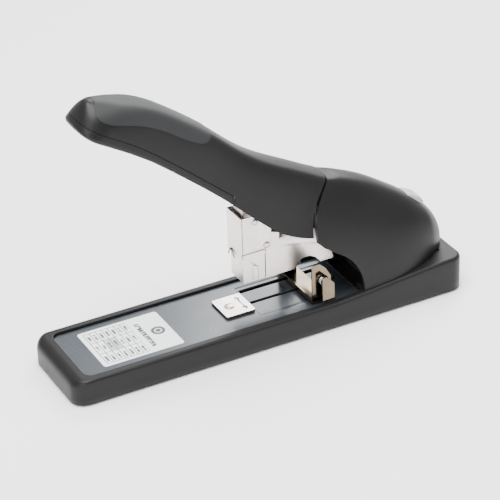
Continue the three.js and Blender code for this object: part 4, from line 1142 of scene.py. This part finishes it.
def handle_shape(sizes, s, inset=0.0):
    """Top and bottom lines, ridge and side half widths, swell and crown at distances from the pin.

    The side tapers evenly from the rear to the grip, and over the tip every width follows a superellipse.
    """
    top, low = curve(metres(HANDLE_TOP), s), curve(metres(HANDLE_LOW), s)
    past, rounded = tip_round(sizes, s)
    taper = np.clip((s - 30 * MM) / (90 * MM), 0, 1)
    half = (sizes.rear_half + (sizes.front_half - sizes.rear_half) * taper - inset) * rounded
    ridge = (sizes.ridge - 1.5 * MM * past - inset) * rounded
    depth = np.maximum(top - low, 12 * MM)
    top = low + (top - low) * (1 - inset / depth)
    crown = (1.7 * MM + 1.5 * MM * past) * rounded
    return top, low, ridge, half, 0.8 * MM * rounded, crown


def handle_skin(sizes, s, shares, start, inset):
    """A skin of the handle: each station's section from its start on one side, over the top, to the other.

    The rear stations bend to an arc about the hinge pin.
    """
    s_flat = s[:, None]
    at = s_flat + 0 * shares[None, :]
    straight = ramp(s_flat, sizes.seam_radius, 75 * MM)
    for _ in range(6):
        top, low, ridge, half, bulge, crown = handle_shape(sizes, at, inset)
        power = edge_power(sizes, at)
        first = angle_at(np.maximum(start(at), low), top, low, power)
        turn = first + (math.pi / 2 - first) * (1 - np.abs(shares[None, :]))
        height, width = section(turn, top, low, ridge, half, bulge, crown, power)
        radius = sizes.seam_radius
        arc = np.sqrt(np.clip(radius**2 - np.clip(height, -radius, radius) ** 2, 0, None))
        at = s_flat + (arc - radius) * (1 - straight)
    return placed(sizes, at - inset * tip_round(sizes, at)[0], width * np.sign(shares)[None, :], height)


def upper_start(s):
    """Lowest height of the upper shell: the bottom line at the rear, then a quarter round up to the seam."""
    low, seam = curve(metres(HANDLE_LOW), s), curve(metres(HANDLE_SEAM), s)
    share = np.clip((s - TRAY_START) / TRAY_ROUND, 0, 1)
    return low + (seam - low) * np.sqrt(1 - (1 - share) ** 2)


def upper_lip(s):
    """Inner edge of the upper shell's wall, above its outer edge, so that the seam slants."""
    return upper_start(s) + 1.1 * MM


def upper_mesh(sizes):
    """The upper handle shell, with its rear edge on the seam with the cover."""
    stations = np.concatenate([
        np.linspace(sizes.seam_radius, TRAY_START - 0.6 * MM, 30),
        TRAY_START + TRAY_ROUND * (1 - np.cos(np.linspace(0, math.pi / 2, 8))),
        np.linspace(TRAY_START + 4 * MM, TIP_START - 2 * MM, 50),
        TIP_START + (sizes.tip - TIP_START) * eased_ends(30),
    ])
    shares = np.linspace(-1, 1, 81)
    outer = handle_skin(sizes, stations, shares, upper_start, 0.0)
    inner = handle_skin(sizes, stations, shares, upper_lip, sizes.wall)
    return walled("handle_upper_moulding", outer, inner, ends=(True, False))


def lower_skin(sizes, s, inset):
    """A skin of the lower shell: down each side from the seam, round the bottom edge and across."""
    past, rounded = (value[:, None] for value in tip_round(sizes, s))
    top, low, ridge, half, bulge, crown = (value[:, None] for value in handle_shape(sizes, s, inset))
    seam = upper_start(s - sizes.seam_gap)[:, None] - sizes.seam_gap + 0.4 * inset
    bottom = low + inset * np.clip((seam - low) / (4 * MM), 0, 1)
    radius = np.clip(0.6 * (seam - bottom), 0, 3 * MM)
    down, around = np.linspace(0, 1, 7)[None, :-1], np.linspace(0, math.pi / 2, 7)[None, :]
    side_height = seam + (bottom + radius - seam) * down
    bend_height = bottom + radius * (1 - np.sin(around))
    bend_in = radius * (1 - np.cos(around))
    height = np.concatenate([side_height, bend_height], 1)
    power = edge_power(sizes, s)[:, None]
    _, width = section(angle_at(height, top, low, power), top, low, ridge, half, bulge, crown, power)
    drawn_in = np.concatenate([0 * side_height, bend_in], 1)
    width = width - drawn_in * rounded
    flat = np.linspace(1, 0, 9)[None, 1:-1]
    middle = np.concatenate([width[:, -1:] * flat, 0 * bottom, -width[:, -1:] * flat[:, ::-1]], 1)
    across = np.concatenate([width, middle, -width[:, ::-1]], 1)
    heights = np.concatenate([height, bottom + 0 * middle, height[:, ::-1]], 1)
    drawn_in = np.concatenate([drawn_in, drawn_in[:, -1:] + 0 * middle, drawn_in[:, ::-1]], 1)
    return placed(sizes, s[:, None] - (inset + drawn_in) * past, across, heights)


def lower_mesh(sizes):
    """The lower handle shell: a shallow tray under the grip."""
    stations = np.concatenate([
        TRAY_START + 0.6 * MM + TRAY_ROUND * (1 - np.cos(np.linspace(0, math.pi / 2, 8))),
        np.linspace(TRAY_START + 5 * MM, TIP_START - 2 * MM, 48),
        TIP_START + (sizes.tip - TIP_START) * eased_ends(30),
    ])
    outer, inner = lower_skin(sizes, stations, 0.0), lower_skin(sizes, stations, 2 * MM)
    return walled("handle_lower_moulding", outer, inner, ends=(True, False))


def grip_mesh(sizes):
    """The soft grip: the shell's own surface above the grip's edge line, raised by a hair's breadth."""
    low_s, high_s = GRIP_EDGE[0][0] * MM, GRIP_EDGE[-1][0] * MM
    s = low_s + (high_s - low_s) * (1 - np.cos(np.linspace(0, math.pi, 90))) / 2
    shares = np.sin(np.linspace(-math.pi / 2, math.pi / 2, 61))

    def skin(rise):
        at = s[:, None] + 0 * shares[None, :]
        top, low, ridge, half, bulge, crown = handle_shape(sizes, at, -rise)
        power = edge_power(sizes, at)
        first = angle_at(curve(metres(GRIP_EDGE), at), top, low, power)
        first = np.where((at == at[0]) | (at == at[-1]), math.pi / 2, first)
        turn = first + (math.pi / 2 - first) * (1 - np.abs(shares[None, :]))
        height, width = section(turn, top, low, ridge, half, bulge, crown, power)
        return placed(sizes, at, width * np.sign(shares)[None, :], height)

    return walled("soft_grip", skin(0.35 * MM), skin(0.02 * MM), ends=(False, False))


class STAPLER_OT_handle(bpy.types.Operator):
    """Make the two shells of the handle, the soft grip and the steel lever"""

    bl_idname = "stapler.handle"
    bl_label = "Handle"

    def execute(self, context):
        sizes = context.scene.stapler_handle
        add_piece("handle_upper_moulding", upper_mesh(sizes), "handle_upper_shell", bevel=0.35 * MM, sharp=50)
        add_piece("handle_lower_moulding", lower_mesh(sizes), "handle_lower_shell", bevel=0.35 * MM, sharp=50)
        add_piece("soft_grip", grip_mesh(sizes), "grip_insert", sharp=50)
        lever = copy_of("lever_channel")
        add_piece("steel_lever", lever, "lever_channel", finish="lever_steel", bevel=0.2 * MM)
        return {"FINISHED"}


# ---------- head, stop, hinges and springs ----------
HARD_PARTS = {
    "head": {
        "head_housing": 0.12, "nose_piece": 0.12, "head_frame": 0.12, "driver_blade": 0.08,
        "driver_striker": 0.2, "staple_rail": 0.12, "staple_pusher": 0.12, "anvil_plate": 0.2,
    },
    "stop": {"stop_frame": 0.2, "stop_button_left": 0.3, "stop_button_right": 0.3, "stop_clamp": 0.15},
    "hinges": {
        "pivot_bracket": 0.2, "hinge_spacer_left": 0.2, "hinge_spacer_right": 0.2, "bracket_screw_1": 0.2,
        "bracket_screw_2": 0.2, "bracket_screw_3": 0.2, "bracket_screw_4": 0.2,
    },
}


def side_grooves(path, radius, sides):
    """Round cutters along a path in the XZ plane, one at each side."""
    return [tube("groove", path + np.array([0, y, 0]), radius, (0, 1, 0), 8) for y in sides]


def housing_slits():
    """Cutters for the slit on each side of the housing, where its front and side sheets meet."""
    slit, low, high = 0.45 * MM, HOUSING_LOW, HOUSING_HIGH
    front = low[0] + 0.55 * MM
    sides = ((low[1] - MM, low[1] + slit), (high[1] - slit, high[1] + MM))
    return [block((front, a, low[2] - MM), (front + slit, b, high[2] + MM)) for a, b in sides]


def housing_cuts():
    """Cutters for the housing's sides: its slits, and a shadow line round the edge of the nose."""
    nose_high = np.array(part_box("nose_piece")[1])
    rear, top = nose_high[0] + 0.15 * MM, nose_high[2] + 0.15 * MM
    corner = np.linspace(math.pi / 2, 0, 7)
    bend = np.stack([rear - MM + MM * np.cos(corner), 0 * corner, top - MM + MM * np.sin(corner)], 1)
    start, end = [HOUSING_LOW[0] - MM, 0, top], [rear, 0, HOUSING_LOW[2] - MM]
    path = np.concatenate([[start], bend, [end]])
    return housing_slits() + side_grooves(path, 0.42 * MM, (HOUSING_LOW[1], HOUSING_HIGH[1]))


def nose_ribs():
    """Cutters for the long arched groove pressed into each side of the nose."""
    low, high = (np.array(corner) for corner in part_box("nose_piece"))
    reach, middle, crest = 1.9 * MM, -1.7 * MM, 46.8 * MM
    angle = np.linspace(math.pi, 0, 15)
    arch = np.stack([middle + reach * np.cos(angle), 0 * angle, crest + reach * np.sin(angle)], 1)
    foot = low[2] + 1.2 * MM
    path = np.concatenate([[[middle - reach, 0, foot]], arch, [[middle + reach, 0, foot]]])
    return side_grooves(path, 0.28 * MM, (low[1], high[1]))


OWN_FINISH = {"anvil_plate": "anvil_steel"}
GROOVES = {"head_housing": housing_cuts, "nose_piece": nose_ribs}


def add_hard_parts(group, finish=None):
    """Copies of stamped, moulded or machined parts, with their edges rounded."""
    for node, edge in HARD_PARTS[group].items():
        mesh = copy_of(node)
        if node in GROOVES:
            mesh = cut(mesh, GROOVES[node]())
        own = OWN_FINISH.get(node, finish)
        add_piece(f"{node}_finished", mesh, node, finish=own, bevel=edge * MM, sharp=30)


def domed(radius, rise):
    """Profile of a shallow dome above its seat."""
    angle = np.linspace(math.pi / 2, 0, 7)
    return [(radius * math.cos(a), rise * math.sin(a)) for a in angle]


def add_pin(node, axis, rounding=0.4 * MM):
    """A plain pin that fills a node's box along an axis, its ends rounded."""
    low, high = (np.array(corner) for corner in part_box(node))
    k = "XYZ".index(axis)
    half, middle = (high[k] - low[k]) / 2, (low + high) / 2
    radius = (high[(k + 1) % 3] - low[(k + 1) % 3]) / 2
    profile = [(0, -half), (radius - rounding, -half), (radius, rounding - half)]
    profile += [(radius, half - rounding), (radius - rounding, half), (0, half)]
    add_piece(f"{node}_turned", turned(f"{node}_turned", profile, middle, axis), node, sharp=40)


def coil(name, node, axis, mean, wire, turns, steps=28):
    """A helical spring that fills a node's box along an axis: evenly advancing turns with closed ends."""
    low, high = (np.array(corner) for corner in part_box(node))
    k = "XYZ".index(axis)
    t = np.linspace(0, 1, turns * steps + 1)
    angle = 2 * math.pi * turns * t
    closed = 1.2 / turns
    along = np.clip((t - closed) / (1 - 2 * closed), 0, 1)
    length = high[k] - low[k] - 2 * wire
    pitch = 2.05 * wire
    lead = np.minimum(t, closed) / closed * pitch + np.clip(t - 1 + closed, 0, closed) / closed * pitch
    path = np.zeros((len(t), 3))
    path[:, k] = low[k] + wire + along * (length - 2 * pitch) + lead
    middle = (low + high) / 2
    out = np.zeros((len(t), 3))
    out[:, (k + 1) % 3], out[:, (k + 2) % 3] = np.cos(angle), np.sin(angle)
    path += out * mean
    path[:, (k + 1) % 3] += middle[(k + 1) % 3]
    path[:, (k + 2) % 3] += middle[(k + 2) % 3]
    return add_piece(name, tube(name, path, wire, out, 10), node, sharp=60)


class STAPLER_OT_head(bpy.types.Operator):
    """Make the head: housing, nose, side plates, blade, rail, pusher, rivets and latch wire"""

    bl_idname = "stapler.head"
    bl_label = "Head and Anvil"

    def execute(self, context):
        add_hard_parts("head")
        for side, sign in (("left", 1), ("right", -1)):
            for i in (1, 2):
                node = f"head_rivet_{side}_{i}"
                low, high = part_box(node)
                middle, radius = (low + high) / 2, (high.x - low.x) / 2
                seat, reach = (low.y, high.y) if sign > 0 else (high.y, low.y)
                rise = 0.9 * MM
                profile = [(r, sign * (abs(reach - seat) - rise + h)) for r, h in domed(radius, rise)]
                profile = [*profile, (radius, 0), (0, 0)]
                rivet = turned(f"{node}_domed", profile, (middle.x, seat, middle.z), "Y", 28)
                add_piece(f"{node}_domed", rivet, node, sharp=50)
        low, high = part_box("anvil_rivet")
        middle, radius = (low + high) / 2, (high.x - low.x) / 2
        profile = [(r, high.z - 0.7 * MM + h) for r, h in domed(radius, 0.7 * MM)]
        profile = [*profile, (radius, DECK_HIGH[2] + 1.9 * MM), (radius * 0.7, DECK_HIGH[2] + 1.85 * MM)]
        profile += [(radius * 0.7, low.z), (0, low.z)]
        anvil = turned("anvil_rivet_domed", profile, (middle.x, middle.y, 0), "Z", 28)
        add_piece("anvil_rivet_domed", anvil, "anvil_rivet", sharp=50)
        add_pin("drive_pin", "Y")
        add_pin("pusher_rod", "X", 0.3 * MM)
        add_piece("latch_wire_finished", copy_of("latch_wire"), "latch_wire", finish="dark_steel", sharp=70)
        slide = coil("pusher_spring_wound", "pusher_spring", "X", 1.85 * MM, 0.3 * MM, 26, 16)
        low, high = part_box("pusher_spring")
        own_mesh(slide)
        return {"FINISHED"}


class STAPLER_OT_stop(bpy.types.Operator):
    """Make the paper stop with its fence, squeeze buttons, clamp and springs"""

    bl_idname = "stapler.stop"
    bl_label = "Paper Stop"

    def execute(self, context):
        add_hard_parts("stop", "stop_plate")
        for side, sign in (("left", 1), ("right", -1)):
            node = f"stop_spring_{side}"
            spring = coil(f"{node}_wound", node, "Y", 2.3 * MM, 0.35 * MM, 4, 24)
            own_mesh(spring)
        return {"FINISHED"}


class STAPLER_OT_hinges(bpy.types.Operator):
    """Make the pivot bracket, its screws, the hinge pins and spacers, and the return springs"""

    bl_idname = "stapler.hinges"
    bl_label = "Hinges and Springs"

    def execute(self, context):
        add_hard_parts("hinges", "dark_steel")
        add_pin("handle_hinge_pin", "Y", 0.6 * MM)
        add_pin("head_hinge_pin", "Y", 0.6 * MM)
        lift = coil("head_spring_wound", "head_spring", "Z", 4.3 * MM, 0.6 * MM, 8)
        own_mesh(lift)
        coil("handle_spring_wound", "handle_spring", "Y", 6.0 * MM, 0.55 * MM, 5)
        return {"FINISHED"}


# ---------- stage ----------
def soft_light(name, place, aim, size, power):
    """A square area light that faces a point."""
    lamp = bpy.data.lights.new(name, "AREA")
    lamp.size, lamp.energy = size, power
    holder = bpy.data.objects.new(name, lamp)
    bpy.context.scene.collection.objects.link(holder)
    holder.location = place
    direction = np.array(aim, float) - np.array(place, float)
    holder.rotation_euler = (
        math.atan2(math.hypot(direction[0], direction[1]), -direction[2]),
        0,
        math.atan2(-direction[0], direction[1]),
    )
    return holder


class STAPLER_OT_stage(bpy.types.Operator):
    """Set the pale floor, the soft studio light and the camera"""

    bl_idname = "stapler.stage"
    bl_label = "Stage"

    def execute(self, context):
        settings = context.scene.stapler_stage
        material, tree, shader, where = start_finish("pale_floor")
        pale = blended(tree, noise(tree, where, 4.0, 2.0), (0.93, 0.93, 0.93, 1), (0.95, 0.95, 0.95, 1))
        tree.links.new(pale, shader.inputs["Base Color"])
        shader.inputs["Roughness"].default_value = 0.9
        reach = 6.0
        corners = [(-reach, -reach, 0), (reach, -reach, 0), (reach, reach, 0), (-reach, reach, 0)]
        mesh = bpy.data.meshes.new("floor")
        mesh.from_pydata(corners, [], [(0, 1, 2, 3)])
        mesh.materials.append(material)
        floor = bpy.data.objects.new("floor", mesh)
        context.scene.collection.objects.link(floor)
        world = bpy.data.worlds.new("studio")
        world.use_nodes = True
        sky = world.node_tree.nodes["Background"]
        around = add_node(world.node_tree, "ShaderNodeTexCoord").outputs["Generated"]
        height = add_node(world.node_tree, "ShaderNodeSeparateXYZ", {0: around}).outputs["Z"]
        rise = fitted(world.node_tree, height, 0.05, 0.75, 0.0, 1.0)
        glow = blended(world.node_tree, rise, (0.62, 0.62, 0.64, 1.0), (1.0, 1.0, 1.0, 1.0))
        world.node_tree.links.new(glow, sky.inputs["Color"])
        sky.inputs["Strength"].default_value = 1.15
        context.scene.world = world
        aim = (0, 0, 0.08)
        key = soft_light("overhead_panel", (-0.15, -0.1, 1.15), aim, 0.9, 34.0)
        side = soft_light("front_panel", (-0.9, -0.75, 0.55), aim, 0.7, 9.0)
        rear = soft_light("rear_panel", (0.75, 0.8, 0.8), aim, 0.8, 18.0)
        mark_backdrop(floor, key, side, rear)
        a, e = settings.azimuth, settings.elevation
        back = np.array([math.sin(a) * math.cos(e), -math.cos(a) * math.cos(e), math.sin(e)])
        lens = bpy.data.cameras.new("camera")
        lens.lens = settings.lens
        camera = bpy.data.objects.new("camera", lens)
        context.scene.collection.objects.link(camera)
        target = (CAD_LOW + CAD_HIGH) / 2 - np.array([1.2 * MM, 0.5 * MM, settings.drop])
        camera.location = target + back * settings.distance
        aimed = mathutils.Vector(back).to_track_quat("Z", "Y").to_matrix().to_4x4()
        camera.matrix_world = (
            mathutils.Matrix.Translation(camera.location)
            @ aimed
            @ mathutils.Matrix.Rotation(settings.roll, 4, "Z")
        )
        context.scene.camera = camera
        return {"FINISHED"}


# ---------- add-on ----------
OPERATORS = [
    STAPLER_OT_base,
    STAPLER_OT_cover,
    STAPLER_OT_handle,
    STAPLER_OT_head,
    STAPLER_OT_stop,
    STAPLER_OT_hinges,
    STAPLER_OT_stage,
]


class STAPLER_PT_panel(bpy.types.Panel):
    """Buttons and sizes of the stapler"""

    bl_idname = "STAPLER_PT_panel"
    bl_label = "Desktop Stapler"
    bl_space_type = "VIEW_3D"
    bl_region_type = "UI"
    bl_category = "Stapler"

    def draw(self, context):
        for operator in OPERATORS:
            self.layout.operator(operator.bl_idname)
        for pointer, group in SETTINGS.items():
            box = self.layout.box()
            for name in group.__annotations__:
                box.prop(getattr(context.scene, pointer), name)


def register():
    for kind in (*SETTINGS.values(), *OPERATORS, STAPLER_PT_panel):
        bpy.utils.register_class(kind)
    for pointer, group in SETTINGS.items():
        setattr(bpy.types.Scene, pointer, PointerProperty(type=group))


def unregister():
    for pointer in SETTINGS:
        delattr(bpy.types.Scene, pointer)
    for kind in (STAPLER_PT_panel, *reversed(OPERATORS), *reversed(SETTINGS.values())):
        bpy.utils.unregister_class(kind)


def main():
    """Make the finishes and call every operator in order."""
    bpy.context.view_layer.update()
    register()
    make_finishes(bpy.context.scene.stapler_colours)
    for operator in OPERATORS:
        family, action = operator.bl_idname.split(".")
        getattr(getattr(bpy.ops, family), action)()
    bpy.context.view_layer.update()


if __name__ == "__main__":
    main()
